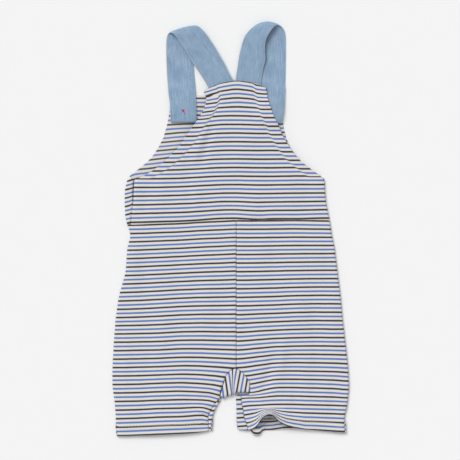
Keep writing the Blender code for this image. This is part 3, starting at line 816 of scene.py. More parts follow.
def leg_surface(side, x, y):
    """The laid place of a point of a back leg: x, y and the height of its outer face."""
    folds = LEFT_LEG_FOLDS if side < 0 else RIGHT_LEG_FOLDS
    inner = INNER_LEFT if side < 0 else INNER_RIGHT
    outline = SIDES("left" if side < 0 else "right", y)
    other = SIDES("right" if side < 0 else "left", y)
    split = smoothstep((CROTCH_Y + 4 - y) / 8)
    other = mix(other, inner("fold", y), split)
    z = back_height(x, y, np.minimum(outline, other), np.maximum(outline, other))
    edge = smoothstep(np.abs(x - outline) / 12)
    z = z + edge * (fold_relief(x, y, folds) + slack(x, y))
    return z


def leg_inner_edge(side, y):
    """The centre seam, then the gusset's seam, then the seam by the inner fold."""
    inner = INNER_LEFT if side < 0 else INNER_RIGHT
    fold_top = FOLD_TOP_LEFT if side < 0 else FOLD_TOP_RIGHT
    inwards, _ = around_fold(-inner("over", y))
    below = inner("fold", y) + side * inwards
    beside = GUSSET("left" if side < 0 else "right", y)
    above = np.where(y > -162.5, CENTRE_SEAM_X, beside)
    return mix(above, below, smoothstep((fold_top + 1.5 - y) / 3)) + side * SEAM_GAP


def back_leg(side):
    outer_side = "left" if side < 0 else "right"
    columns = ROLL_COLUMNS + LEG_COLUMNS
    patch = LEFT_LEG_SAG if side < 0 else RIGHT_LEG_SAG

    def place(i, j):
        k = columns - i if side > 0 else i
        y, cut_y, depth = hemmed_rows(j, LEG_ROWS)
        outline = SIDES(outer_side, y)
        roll = QUARTER * np.clip(k / ROLL_COLUMNS, 0, 1)
        roll_in, fall = around_fold(roll)
        flat_share = np.clip((k - ROLL_COLUMNS) / LEG_COLUMNS, 0, 1)
        inner_edge = leg_inner_edge(side, y)
        x = mix(outline - side * roll_in, inner_edge, flat_share)
        laid_y = below_waist(x, y)
        z = leg_surface(side, x, y) - fall
        valley = seam_valley(np.abs(x - inner_edge))
        valley = valley * mix(1.0, CENTRE_SEAM_SHARE, smoothstep((y + 170) / 10))
        z -= np.where(k > ROLL_COLUMNS, valley, 0)
        z -= seam_valley(WAIST_Y - y) + depth
        along = leg_stripes(patch, x, laid_y + cut_y - y)
        if side > 0:
            pull, rise = lifted_hem(x, y)
            laid_y, z = laid_y + pull, z + rise
        across = x + side * (roll - QUARTER)
        return x, laid_y, z, across, along

    return lay_cloth("back_leg_" + outer_side, columns, HEM_ROWS + LEG_ROWS, place)


back_leg_left = back_leg(-1)
back_leg_right = back_leg(1)
print("back legs:", len(back_leg_left.data.vertices), "points each")

# %% [markdown]
# The front of each leg lies underneath, flat on the table, so little of it shows: the
# strip that wraps up over each inner fold, and the inside of the hem under the arch.
# It is still a whole piece with its own hem and folds, because the part can be looked
# at from below. Its outer face is the lower one, so the grid is turned face down.

# %% Front legs
FRONT_FLAT_COLUMNS = 50
FRONT_WRAP_COLUMNS = 16
FRONT_ROWS = 110
# Above 1, the front's rows crowd together towards the hem, where it shows
FRONT_CROWDING = 1.15
UNDER_APEX_Y = -176.0
UNDER_FOOT_Y = -195.0
UNDER_LEFT_X = -10.5
CURL_X = 30.0
CURL_HALF = 6.5
CURL_FROM_Y = -219.0
CURL_REACH = 5.2
CURL_RISE = 2.4


def front_leg(side):
    outer_side = "left" if side < 0 else "right"
    inner = INNER_LEFT if side < 0 else INNER_RIGHT
    fold_top = FOLD_TOP_LEFT if side < 0 else FOLD_TOP_RIGHT
    columns = ROLL_COLUMNS + FRONT_FLAT_COLUMNS + FRONT_WRAP_COLUMNS

    def place(i, j):
        k = columns - i if side > 0 else i
        y, cut_y, depth = hemmed_rows(j, FRONT_ROWS, FRONT_CROWDING)
        outline = SIDES(outer_side, y)
        folded = smoothstep((fold_top + 2 - y) / 4)
        seam_x = np.full_like(y, CENTRE_SEAM_X)
        if side < 0:
            down = np.clip((UNDER_APEX_Y - y) / (UNDER_APEX_Y - UNDER_FOOT_Y), 0, 1)
            seam_x = mix(CENTRE_SEAM_X, UNDER_LEFT_X, down)
        seam_x = seam_x + side * SEAM_GAP
        fold = mix(seam_x, inner("fold", y), folded)
        over = inner("over", y)
        roll_in, roll_z = around_fold(QUARTER * np.clip(k / ROLL_COLUMNS, 0, 1))
        flat_share = np.clip((k - ROLL_COLUMNS) / FRONT_FLAT_COLUMNS, 0, 1)
        inner_start = fold + side * FOLD_RADIUS * mix(2.0, 1.0, folded)
        x = mix(outline - side * roll_in, inner_start, flat_share)
        z = np.where(k < ROLL_COLUMNS, roll_z, 0.0)
        wrap = np.clip((k - ROLL_COLUMNS - FRONT_FLAT_COLUMNS) / FRONT_WRAP_COLUMNS, 0, 1)
        wrap_along = mix(QUARTER, -over, wrap)
        wrap_in, wrap_z = around_fold(wrap_along)
        wrapped_x = fold + side * wrap_in
        plain_x = mix(inner_start, seam_x, wrap)
        on_wrap = k > ROLL_COLUMNS + FRONT_FLAT_COLUMNS
        x = np.where(on_wrap, mix(plain_x, wrapped_x, folded), x)
        top_edge = seam_valley(np.abs(over + wrap_along)) * folded
        z = np.where(on_wrap, (wrap_z - top_edge) * folded, z)
        flat_part = smoothstep(flat_share * 8) * smoothstep((1 - flat_share) * 8)
        z = z + flat_part * np.where(on_wrap, 0, np.abs(fold_relief(x, y, FRONT_FOLDS)))
        z = z + depth * np.where(on_wrap & (wrap_along < 0), -1.0, 1.0)
        laid_y = below_waist(x, y)
        along = leg_stripes(FRONT_LEG_SAG, x, laid_y + cut_y - y)
        if side > 0:
            curl = np.exp(-(((x - CURL_X) / CURL_HALF) ** 4))
            curl = curl * smoothstep((CURL_FROM_Y - y) / (CURL_FROM_Y - HEM_Y)) ** 2
            curl = np.where(on_wrap, 0, curl)
            laid_y, z = laid_y - CURL_REACH * curl, z + CURL_RISE * curl
        across = x + np.where(on_wrap, side * (QUARTER - wrap_along), 0)
        return x, laid_y, z, across, along

    rows = HEM_ROWS + FRONT_ROWS
    return lay_cloth("front_leg_" + outer_side, columns, rows, place, face_down=True)


front_leg_left = front_leg(-1)
front_leg_right = front_leg(1)
print("front legs:", len(front_leg_left.data.vertices), "points each")

# %% [markdown]
# The gusset is the small piece that gives the seat room. Its stripes run up and down,
# across those of the legs, and fan out from a sharp crease where the cloth is pinched
# between the two legs. The left half folds over at the crotch and goes underneath.
# Pushing the map sideways on each side of the crease makes the stripes run into it.

# %% Gusset
GUSSET_LEFT_COLUMNS = 24
GUSSET_RIGHT_COLUMNS = 18
GUSSET_TOP_ROWS = 30
GUSSET_ROLL_ROWS = 10
GUSSET_UNDER_ROWS = 6
CROTCH_SPLIT_X = 5.0
CREASE_TOP_X = 2.4
CREASE_FOOT_X = 3.2
PULL_LEFT = 3.4
PULL_RIGHT = 5.9
CREASE_WIDTH = 1.2
CREASE_DEPTH = 1.5
SWELLS = [
    # aside of the crease, half width, height
    (4.2, 2.2, 0.7),
    (-3.8, 2.0, 0.7),
]
PUCKER_HEIGHT = 0.35
PUCKER_TURN = 1.9


def gusset():
    columns = GUSSET_LEFT_COLUMNS + GUSSET_RIGHT_COLUMNS
    rows = GUSSET_TOP_ROWS + GUSSET_ROLL_ROWS + GUSSET_UNDER_ROWS

    def place(i, j):
        d = rows - j
        down = np.clip(d / GUSSET_TOP_ROWS, 0, 1)
        y = mix(GUSSET_TOP_Y + 0.6, CROTCH_Y, down)
        left = GUSSET("left", y) + SEAM_GAP
        right = GUSSET("right", y) - SEAM_GAP
        split = mix(mix(left, right, GUSSET_LEFT_COLUMNS / columns), CROTCH_SPLIT_X, down)
        left_x = mix(left, split, np.clip(i / GUSSET_LEFT_COLUMNS, 0, 1))
        right_share = np.clip((i - GUSSET_LEFT_COLUMNS) / GUSSET_RIGHT_COLUMNS, 0, 1)
        on_left = i <= GUSSET_LEFT_COLUMNS
        x = np.where(on_left, left_x, mix(split, right, right_share))
        edge = np.where(on_left, CROTCH("y", x), CROTCH_Y + 0.1)
        y = y + down**2 * (edge - CROTCH_Y)
        crease_x = mix(CREASE_TOP_X, CREASE_FOOT_X, down)
        beside = (x - crease_x) / CREASE_WIDTH
        z = back_height(x, y, SIDES("left", y), SIDES("right", y))
        z -= CREASE_DEPTH * down**0.7 * np.exp(-(beside**2))
        for aside, half, height in SWELLS:
            z += height * down * np.exp(-(((x - crease_x - aside) / half) ** 2))
        z += PUCKER_HEIGHT * down**3 * np.sin(x * PUCKER_TURN)
        nearest = np.minimum(np.abs(x - left), np.abs(right - x))
        z -= seam_valley(nearest) + seam_valley(np.abs(GUSSET_TOP_Y + 0.6 - y))
        z -= np.where(on_left, 0, seam_valley(np.abs(y - edge)))
        pulled = mix(-PULL_LEFT, PULL_RIGHT, 0.5 + 0.5 * np.tanh(beside)) * down
        along = (x - crease_x + pulled) + 0.2
        across = y
        past = np.clip((d - GUSSET_TOP_ROWS) / GUSSET_ROLL_ROWS, 0, 1)
        radius = z / 2
        y = y - radius * np.sin(math.pi * past)
        z = z - radius * (1 - np.cos(math.pi * past))
        under = np.clip((d - GUSSET_TOP_ROWS - GUSSET_ROLL_ROWS) / GUSSET_UNDER_ROWS, 0, 1)
        apex = (x - UNDER_LEFT_X) / (CROTCH_SPLIT_X - UNDER_LEFT_X)
        reach = np.maximum(np.maximum(apex, 0) * (UNDER_APEX_Y - CROTCH_Y - 1.2), 1.0)
        y = y + under * reach
        across = across - math.pi * radius * past - under * reach
        return x, y, z, across, along * STRIPE_REPEAT / LEG_PITCH

    def beyond(column, row):
        """The right half stops at its seam, and the fold starts clear of the left leg."""
        below = rows - row >= GUSSET_TOP_ROWS
        return below & ((column >= GUSSET_LEFT_COLUMNS) | (column <= 3))

    return lay_cloth("gusset", columns, rows, place, unused=beyond)


crotch_gusset = gusset()
print("gusset:", len(crotch_gusset.data.vertices), "points")

# %% [markdown]
# The back bib is the upper back. It covers the ends of the straps at the top and most
# of the front bib at the sides. Its armholes and top are narrow hems, so the cloth
# turns under along them. Beyond the stitching of those hems the stripes hang a little
# lower, since the doubled cloth is stretched by the needle.

# %% Back bib
BIB_COLUMNS = 150
BIB_ROWS = 112
ARMHOLE_BAND = 10.5
# An armhole slants, so its distance square to the edge is less than straight across
ARMHOLE_SLANT = 0.62
EDGE_BAND = 2.0
STITCH_DIMPLE = 0.5
BAND_DROP = 1.5
LEFT_BAND_DROP = 0.9
LIP_DROP = 2.6
BACK_BIB = Outline("level left_x left_y right_x right_y crown turned", [
    (6.6, -118.4, 6.6, 117.4, 12.4, 3.4, 1.0),
    (20, -116.7, 20.0, 115.2, 20.0, 2.0, 1.0),
    (35, -114.8, 35.0, 112.2, 35.0, 1.5, 1.0),
    (50, -114.1, 50.0, 111.0, 50.0, 1.0, 1.0),
    (60.5, -113.0, 60.5, 110.6, 60.5, 0.0, 0.95),
    (65.5, -105.5, 63.6, 102.8, 67.5, 0.0, 0.45),
    (71.0, -93.7, 69.8, 95.3, 72.5, 0.0, 0.1),
    (81.7, -79.2, 80.5, 81.8, 83.0, 1.0, 0.0),
    (92.2, -68.7, 90.9, 73.5, 93.6, 1.5, 0.0),
    (101.6, -59.9, 100.3, 67.0, 103.0, 2.0, 0.0),
    (112, -53.3, 110.6, 60.7, 113.5, 2.0, 0.0),
    (122.8, -46.8, 120.7, 56.4, 125.0, 2.0, 0.0),
    (132.6, -39.2, 130.7, 51.2, 134.6, 2.0, 0.0),
    (142.7, -32.1, 142.0, 48.1, 143.5, 2.0, 0.0),
    (153.9, -28.1, 153.9, 44.6, 153.9, 4.0, 0.0),
    (166.6, -31.9, 164.7, 41.7, 168.5, 10.4, 0.0),
], ease=2.2)
BIB_FOOT, BIB_TOP = 6.6, 166.6


def bib_row(level, share):
    """A point of the back bib: level picks the row, share runs across it from 0 to 1."""
    left_x, right_x = BACK_BIB("left_x", level), BACK_BIB("right_x", level)
    x = mix(left_x, right_x, share)
    y = mix(BACK_BIB("left_y", level), BACK_BIB("right_y", level), share)
    y = y + 4 * BACK_BIB("crown", level) * share * (1 - share)
    foot = WAIST("y", x) + SEAM_GAP
    return x, mix(foot, y, np.clip((level - BIB_FOOT) / 14, 0, 1))


def bib_height(x, y):
    relief = fold_relief(x, y, BACK_BIB_FOLDS) + slack(x, y)
    inside = smoothstep((x + 118) / 10) * smoothstep((114 - x) / 12)
    return back_height(x, y, SIDES("left", y), SIDES("right", y)) + relief * inside


def back_bib():
    turned = TURN_STEPS + 1
    columns = turned + BIB_COLUMNS + ROLL_COLUMNS
    rows = BIB_ROWS + turned

    def place(i, j):
        level = mix(BIB_FOOT, BIB_TOP, np.clip(j / BIB_ROWS, 0, 1))
        open_edge = smoothstep((level - ARMHOLE_Y) / 3)
        steps = np.clip(turned - i, 0, None)
        edge_in, edge_depth, _ = turned_edge(steps, EDGE_BAND)
        top_steps = np.clip(j - BIB_ROWS, 0, None)
        top_in, top_depth, top_gone = turned_edge(top_steps, EDGE_BAND)
        turn_right = BACK_BIB("turned", level)
        k = columns - i
        roll_in, fall = around_fold(QUARTER * np.clip(k / ROLL_COLUMNS, 0, 1))
        share = np.clip((i - turned) / BIB_COLUMNS, 0, 1)
        width = BACK_BIB("right_x", level) - BACK_BIB("left_x", level)
        left_margin = HEM_RADIUS * open_edge
        right_margin = FOLD_RADIUS
        inset = np.where(i < turned, edge_in * open_edge - left_margin, 0)
        share_x = mix(left_margin, width - right_margin, share) + inset
        share_x = share_x + np.where(k < ROLL_COLUMNS, FOLD_RADIUS - roll_in, 0)
        x, y = bib_row(level, share_x / width)
        y = y - top_in
        z = bib_height(x, y)
        rim = np.where(k < ROLL_COLUMNS, fall * turn_right, 0)
        free_edge = np.where(k < ROLL_COLUMNS, fall * 0.7 * (1 - turn_right), 0)
        z = z - rim - free_edge - np.maximum(edge_depth * open_edge, top_depth)
        z = z - seam_valley(y - WAIST("y", x)) - (1 - open_edge) * seam_valley(share_x)
        to_armhole = np.minimum(share_x, width - share_x) * ARMHOLE_SLANT
        in_band = smoothstep((ARMHOLE_BAND - to_armhole) / 2.5) * open_edge
        line = np.exp(-(((to_armhole - ARMHOLE_BAND) / 1.1) ** 2)) * open_edge
        z = z - STITCH_DIMPLE * line
        z = z + over_buttons(x, y)
        lip = LIP_DROP * smoothstep((y - 126) / 16) * smoothstep((161 - y) / 5)
        drop = in_band * np.where(share_x > width / 2, BAND_DROP, LEFT_BAND_DROP + lip)
        along = bib_stripes(BIB_SAG, x, y) + drop + top_gone
        return x, y, z, x, along

    return lay_cloth("back_bib", columns, rows, place)


upper_back = back_bib()
print("back bib:", len(upper_back.data.vertices), "points")

# %% [markdown]
# The front bib lies underneath. At the left its inside shows between the strap and the
# armhole, and below the armhole its edge wraps up to the side seam on the back. The two
# buttonholes are slots in it, and the shank of each button stands in its slot.

# %% Front bib
FRONT_COLUMNS = 100
FRONT_WRAPS = 24
FRONT_BIB_ROWS = 100
FRONT_TOP_Y = 159.0
HOLE_LENGTH = 17.0
HOLE_WIDTH = 3.4
FRONT_BIB = Outline("y left right over turn_left turn_right", [
    (159, -70.4, 57.6, 0, 0, 0),
    (138, -72, 59.8, 0, 0, 0),
    (124, -75, 61.7, 0, 0, 0),
    (109, -79.3, 65.3, 0, 0, 0),
    (97, -85.5, 70.5, 0, 0, 0),
    (88, -91.5, 76.5, 0, 0, 0),
    (81.7, -97.2, 81.5, 0, 0, 0),
    (74, -106, 91, 0, 0, 0.05),
    (68, -114, 100, 0, 0.05, 0.3),
    (64, -119, 106.5, 0, 0.5, 0.7),
    (61, -121, 110.5, 7.2, 1, 1),
    (56, -123, 111, 9.0, 1, 1),
    (46, -125, 111, 10.6, 1, 1),
    (32, -125, 112.5, 10.8, 1, 1),
    (20, -124.2, 115, 8.4, 1, 1),
    (12, -122, 116.5, 5.0, 1, 1),
    (6, -120, 117.6, 2.8, 1, 1),
], ease=1.5)


def front_bib():
    columns = FRONT_WRAPS + FRONT_COLUMNS + ROLL_COLUMNS

    def place(i, j):
        y = mix(WAIST_Y, FRONT_TOP_Y, j / FRONT_BIB_ROWS)
        left, right = FRONT_BIB("left", y), FRONT_BIB("right", y)
        wrap_along = mix(-FRONT_BIB("over", y), QUARTER, np.clip(i / FRONT_WRAPS, 0, 1))
        wrap_in, wrap_z = around_fold(wrap_along, FRONT_BIB("turn_left", y))
        k = columns - i
        roll_in, roll_z = around_fold(QUARTER * np.clip(k / ROLL_COLUMNS, 0, 1),
                                      FRONT_BIB("turn_right", y))
        share = np.clip((i - FRONT_WRAPS) / FRONT_COLUMNS, 0, 1)
        x = mix(left + wrap_in, right - roll_in, share)
        z = np.where(i < FRONT_WRAPS, wrap_z, np.where(k < ROLL_COLUMNS, roll_z, 0.0))
        valley = seam_valley(np.abs(wrap_along + FRONT_BIB("over", y)))
        z = z - np.where(wrap_along < -QUARTER / 2, valley, 0)
        flat_part = smoothstep(share * 8) * smoothstep((1 - share) * 8)
        z = z + flat_part * np.abs(fold_relief(x, y, FRONT_FOLDS))
        at_waist = smoothstep((WAIST_Y + 30 - y) / 30)
        laid_y = y + at_waist * (WAIST("y", x) - WAIST_Y + SEAM_GAP)
        z = z + over_buttons(x, laid_y)
        across = x + np.where(i < FRONT_WRAPS, wrap_along - QUARTER, 0)
        along = bib_stripes(FRONT_BIB_SAG, x, laid_y)
        return x, laid_y, z, across, along

    def in_buttonhole(column, row):
        x, y = place(column, row)[:2]
        inside = np.zeros(len(x), bool)
        for cx, cy in BUTTONS.values():
            inside |= (np.abs(x - cx) < HOLE_WIDTH / 2) & (np.abs(y - cy) < HOLE_LENGTH / 2)
        return inside

    return lay_cloth("front_bib", columns, FRONT_BIB_ROWS, place, face_down=True,
                     unused=in_buttonhole)


upper_front = front_bib()
print("front bib:", len(upper_front.data.vertices), "points")

# %% [markdown]
# A strap is a tube of chambray turned right side out and pressed flat, so it has two
# layers and soft folded edges. It comes out from under the back bib, turns over at the
# top and goes down to its button on the front bib. The ribbon below is drawn between
# two edge lines, one row of the table for each place, and its section is a flattened
# ring with rounded edges. Two edges were chosen rather than one middle line, because
# each turn-over is lopsided: one edge stands well clear of the other.

# %% Straps
STRAP_WALL = 1.5
STRAP_STITCH_IN = 2.2
STRAP_EDGE_POWER = 14
GROOVE_SHARE = 0.12
GROOVE_HALF = 0.9
STRAP_ROWS_EACH = 12
STRAP_SAMPLES = 41
STRAP_LIFT_END = 4.0
STRAP_EDGES = {
    "strap_left": [
        # left x, y, z, right x, y, z, and how far the middle bows up the garment
        (-20.9, 159.7, 2.7, 5.1, 176.3, 2.7, 0.0),
        (-25.2, 166.4, 2.7, 0.6, 180.7, 2.7, 0.0),
        (-33.5, 180.7, 2.8, -8.1, 198.1, 2.9, 0.0),
        (-44.3, 196.9, 3.7, -18.4, 215.6, 3.2, 0.0),
        (-51.6, 209.0, 5.2, -25.0, 225.8, 3.8, 0.0),
        (-58.8, 219.8, 6.8, -31.0, 234.0, 4.4, 0.2),
        (-63.4, 226.8, 7.6, -34.5, 237.6, 4.8, 0.5),
        (-66.6, 230.6, 7.6, -37.6, 240.0, 4.9, 0.8),
        (-69.4, 232.4, 6.6, -40.2, 240.9, 4.4, 1.0),
        (-72.2, 232.6, 3.9, -41.5, 241.0, 3.2, 1.2),
        (-74.4, 230.3, 1.7, -42.0, 239.6, 1.5, 0.8),
        (-75.6, 226.5, 0.85, -43.0, 236.0, 0.85, 0.4),
        (-76.1, 219.0, 0.8, -44.0, 229.0, 0.8, 0.0),
        (-76.0, 205.0, 0.8, -44.4, 207.0, 0.8, 0.0),
        (-75.6, 192.0, 0.8, -43.6, 193.0, 0.8, 0.0),
        (-75.0, 181.0, 0.85, -42.8, 182.0, 0.85, 0.0),
        (-73.3, 161.0, 2.5, -41.4, 160.5, 2.5, 0.0),
        (-71.8, 148.4, 2.45, -40.4, 148.4, 2.45, 0.0),
        (-70.9, 127.3, 2.4, -40.0, 126.9, 2.4, 0.0),
    ],
    "strap_right": [
        (5.4, 166.1, 2.7, 36.1, 163.9, 2.7, 0.0),
        (5.6, 176.4, 2.7, 36.2, 175.8, 2.7, 0.0),
        (8.3, 194.5, 2.9, 38.4, 190.5, 3.6, 0.0),
        (10.6, 209.0, 3.2, 40.9, 201.5, 5.2, 0.0),
        (13.0, 218.5, 3.6, 40.3, 211.5, 6.6, 0.3),
        (15.6, 226.3, 4.2, 40.9, 221.5, 8.2, 1.0),
        (17.6, 230.0, 5.0, 44.0, 229.6, 9.4, 2.4),
        (19.4, 232.0, 5.3, 48.3, 236.2, 9.9, 4.5),
        (20.8, 233.4, 5.0, 52.0, 240.2, 9.3, 6.3),
        (21.6, 233.9, 3.3, 55.6, 241.6, 7.0, 6.9),
        (22.5, 232.4, 1.7, 59.5, 240.2, 4.0, 6.0),
        (24.5, 229.5, 0.9, 62.4, 237.2, 1.8, 4.5),
        (28.0, 227.0, 0.8, 64.2, 232.3, 0.9, 2.5),
        (31.5, 224.0, 0.8, 64.9, 225.0, 0.8, 1.0),
        (33.8, 217.0, 0.8, 64.9, 217.0, 0.8, 0.0),
        (34.0, 197.0, 0.8, 64.8, 197.0, 0.8, 0.0),
        (33.5, 174.0, 0.85, 64.3, 174.0, 0.85, 0.0),
        (33.2, 164.0, 2.5, 64.0, 163.0, 2.5, 0.0),
        (32.4, 147.1, 2.45, 62.8, 144.9, 2.45, 0.0),
        (30.1, 129.1, 2.4, 60.2, 125.3, 2.4, 0.0),
    ],
}


def smooth_path(points, steps):
    """Points along a smooth line through the given ones (Catmull-Rom)."""
    rows = np.array(points, float)
    padded = np.vstack([2 * rows[0] - rows[1], rows, 2 * rows[-1] - rows[-2]])
    path = []
    for k in range(len(rows) - 1):
        a, b, c, d = padded[k:k + 4]
        for t in np.arange(steps) / steps:
            path.append(0.5 * (2 * b + (c - a) * t + (2 * a - 5 * b + 4 * c - d) * t**2
                               + (3 * b - a - 3 * c + d) * t**3))
    path.append(rows[-1])
    return np.array(path)


def strap_middle(name):
    """The strap's middle layer as a grid: points, directions off its face, length so far.

    shares run from -1 on the left edge to 1 on the right, close together at the edges.
    """
    rows = smooth_path(STRAP_EDGES[name], STRAP_ROWS_EACH)
    shares = np.sin(math.pi / 2 * np.linspace(-1, 1, STRAP_SAMPLES))
    t = (shares[None, :, None] + 1) / 2
    grid = mix(rows[:, None, 0:3], rows[:, None, 3:6], t)
    grid[:, :, 1] += rows[:, 6:7] * (1 - shares**2)[None, :]
    grid[:, :, 2] = np.maximum(grid[:, :, 2], STRAP_WALL / 2 + 0.03)
    on_bib = (grid[:, :, 2] < 3) & (grid[:, :, 1] < FRONT_TOP_Y + STRAP_LIFT_END)
    on_bib &= (np.arange(len(rows)) > len(rows) / 2)[:, None]
    grid[:, :, 2] += np.where(on_bib, over_buttons(grid[:, :, 0], grid[:, :, 1]), 0)
    off = np.cross(np.gradient(grid, axis=1), np.gradient(grid, axis=0))
    off /= np.linalg.norm(off, axis=2)[:, :, None]
    middle = grid[:, STRAP_SAMPLES // 2]
    steps = np.linalg.norm(np.diff(middle, axis=0), axis=1)
    return grid, off, shares, np.concatenate([[0.0], np.cumsum(steps)])


def ribbon(name):
    """The strap as a closed ribbon of chambray: its face, round the edge and its back."""
    grid, off, shares, gone = strap_middle(name)
    edge = STRAP_WIDTH / 2 * (1 - np.abs(shares))
    swell = STRAP_WALL / 2 * (1 - np.abs(shares) ** STRAP_EDGE_POWER) ** 0.5
    groove = np.exp(-(((edge - STRAP_STITCH_IN) / GROOVE_HALF) ** 2))
    swell = swell * (1 - GROOVE_SHARE * groove)
    face = grid + off * swell[None, :, None]
    back = grid - off * swell[None, :, None]
    around = np.concatenate([face, back[:, -2:0:-1]], axis=1)
    reach = np.concatenate([shares, shares[-2:0:-1]]) * STRAP_WIDTH / 2
    rows, columns = around.shape[:2]
    ring = bmesh.new()
    points = [ring.verts.new(point) for point in around.reshape(-1, 3) * MM]
    chart = ring.loops.layers.uv.new(CLOTH_MAP)

    def add_face(cells):
        made = ring.faces.new([points[row * columns + column] for row, column in cells])
        for loop, (row, column) in zip(made.loops, cells):
            loop[chart].uv = (reach[column] * MM, gone[row] * MM)

    for row in range(rows - 1):
        for column in range(columns):
            ahead = (column + 1) % columns
            add_face([(row, column), (row, ahead), (row + 1, ahead), (row + 1, column)])
    for row in (0, rows - 1):
        add_face([(row, column) for column in range(columns)])
    bmesh.ops.recalc_face_normals(ring, faces=ring.faces)
    mesh = mesh_from(name, ring)
    mesh.shade_smooth()
    return add_piece(name + CLOTH_END, mesh, strap_cloth)


strap_pieces = {name: ribbon(name) for name in STRAP_EDGES}
strap_lengths = {name: strap_middle(name)[3][-1] for name in STRAP_EDGES}
print("straps in mm:", {name: round(float(size)) for name, size in strap_lengths.items()})

# %% [markdown]
# The buttons are on the front, under the strap ends, so only their rims could be seen
# from the side. Each is a four-hole shirt button: a turned disc with a raised rim and a
# shallow dish, cut through by four holes, with red thread crossed through them and a
# short thread shank up to the strap.

# %% Buttons
BUTTON_RADIUS = 7.5
BUTTON_PROFILE = [
    # radius, height: the outer face is the lower one
    (0.0, 0.7), (3.6, 0.7), (4.8, 0.35), (6.2, 0.0), (7.0, 0.12), (7.5, 0.7),
    (7.5, 1.4), (7.0, 2.0), (6.2, 2.2), (0.0, 2.2),
]
HOLE_OFFSET = 1.25
HOLE_RADIUS = 0.75
BUTTON_SIDES = 64
HOLE_SIDES = 16
DRILL_LENGTH = 6.0
CRISP_ANGLE = math.radians(35)


def button_finish():
    shell = Finish("Button, cream resin", roughness=0.28, specular=0.5)
    place = shell.node("ShaderNodeTexCoord").outputs["Object"]
    cloud = shell.grain(place, 260.0, detail=4.0)
    warm = shell.blend(cloud, colour(214, 205, 188), colour(237, 231, 219))
    return shell.finish(warm, cloud, depth=0.02, strength=0.3)


def turned_shape(name, profile, sides):
    """Spin a profile round the upright axis, as a lathe would."""
    shape = bmesh.new()
    points = [shape.verts.new((r * MM, 0, h * MM)) for r, h in profile]
    edges = [shape.edges.new(pair) for pair in zip(points, points[1:])]
    bmesh.ops.spin(shape, geom=points + edges, cent=(0, 0, 0), axis=(0, 0, 1),
                   angle=2 * math.pi, steps=sides, use_duplicate=False)
    bmesh.ops.remove_doubles(shape, verts=shape.verts, dist=0.02 * MM)
    bmesh.ops.recalc_face_normals(shape, faces=shape.faces)
    return mesh_from(name, shape)


def button(name, centre, finish):
    disc = turned_shape(name, BUTTON_PROFILE, BUTTON_SIDES)
    piece = add_piece(name + "_resin", disc, finish)
    piece.location = (centre[0] * MM, centre[1] * MM, 0)
    drills = bmesh.new()
    for side_x in (-1, 1):
        for side_y in (-1, 1):
            made = bmesh.ops.create_cone(drills, cap_ends=True, segments=HOLE_SIDES,
                                         depth=DRILL_LENGTH * MM,
                                         radius1=HOLE_RADIUS * MM, radius2=HOLE_RADIUS * MM)
            at = (side_x * HOLE_OFFSET * MM, side_y * HOLE_OFFSET * MM, MM)
            bmesh.ops.translate(drills, verts=made["verts"], vec=at)
    cutter = add_piece(name + "_drills", mesh_from(name + "_drills", drills))
    cutter.location = piece.location
    cut = piece.modifiers.new("Four holes", "BOOLEAN")
    cut.operation = "DIFFERENCE"
    cut.object = cutter
    bpy.context.view_layer.update()
    cut_mesh = bpy.data.meshes.new_from_object(
        piece.evaluated_get(bpy.context.evaluated_depsgraph_get()))
    piece.modifiers.clear()
    piece.data = cut_mesh
    piece.data.shade_smooth()
    bpy.data.objects.remove(cutter)
    crisp = piece.modifiers.new("Crisp edges", "EDGE_SPLIT")
    crisp.split_angle = CRISP_ANGLE
    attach(piece, "root")
    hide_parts(name)
    return piece


resin = button_finish()
button_pieces = {name: button(name, centre, resin) for name, centre in BUTTONS.items()}
print("buttons are", 2 * BUTTON_RADIUS, "mm across")

# %% [markdown]
# Sewing thread is twisted, so up close it is a rope of fine slanting grooves. They are
# given as a bump and also painted darker, a painted shade in the grooves. The same
# finish serves three colours: cream on the jersey, pale blue on the straps and red for
# sewing on the buttons. Stitches are real little bodies of thread, sunk a third of
# their thickness into the cloth, because that is what catches the light along a hem.

# %% Thread and stitches
STITCH_LENGTH = 2.9
STITCH_GAP = 0.7
THREAD_RADIUS = 0.19
THREAD_TWIST = 0.5


def thread_finish(name, shade):
    thread = Finish(name, roughness=0.6, sheen=0.1, specular=0.35)
    place = thread.node("ShaderNodeTexCoord").outputs["Object"]
    split = thread.node("ShaderNodeSeparateXYZ")
    thread.tree.links.new(place, split.inputs[0])
    slant = thread.math("ADD", split.outputs["X"], split.outputs["Y"])
    twist = thread.math("SINE", thread.math("MULTIPLY", slant, 2 * math.pi / (THREAD_TWIST * MM)))
    fuzz = thread.grain(place, 2500.0)
    # The twist's grooves are painted darker, a painted shade; the fuzz adds random fleck
    darker_for_groove_shade_and_fleck = tuple(0.72 * value for value in shade[:3]) + (1.0,)
    mixed = thread.blend(thread.math("MULTIPLY_ADD", twist, 0.25, fuzz), darker_for_groove_shade_and_fleck, shade)
    return thread.finish(mixed, twist, depth=0.05, strength=0.5)


CREAM_THREAD = thread_finish("Thread, cream", colour(226, 222, 214))
BLUE_THREAD = thread_finish("Thread, pale blue", colour(158, 182, 205))
RED_THREAD = thread_finish("Thread, red", colour(222, 38, 46))


def stitches(name, runs, material, radius=THREAD_RADIUS):
    """Short bodies of thread along runs of points, given in mm on the cloth's face."""
    sewn = bmesh.new()
    for run in runs:
        run = np.array(run, float)
        steps = np.linalg.norm(np.diff(run, axis=0), axis=1)
        gone = np.concatenate([[0.0], np.cumsum(steps)])
        last = gone[-1] - STITCH_LENGTH
        for start in np.arange(STITCH_GAP / 2, last, STITCH_LENGTH + STITCH_GAP):
            ends = [np.array([np.interp(place, gone, axis) for axis in run.T])
                    for place in (start, start + STITCH_LENGTH)]
            add_thread(sewn, ends[0], ends[1], radius)
    return thread_object(name, sewn, material)


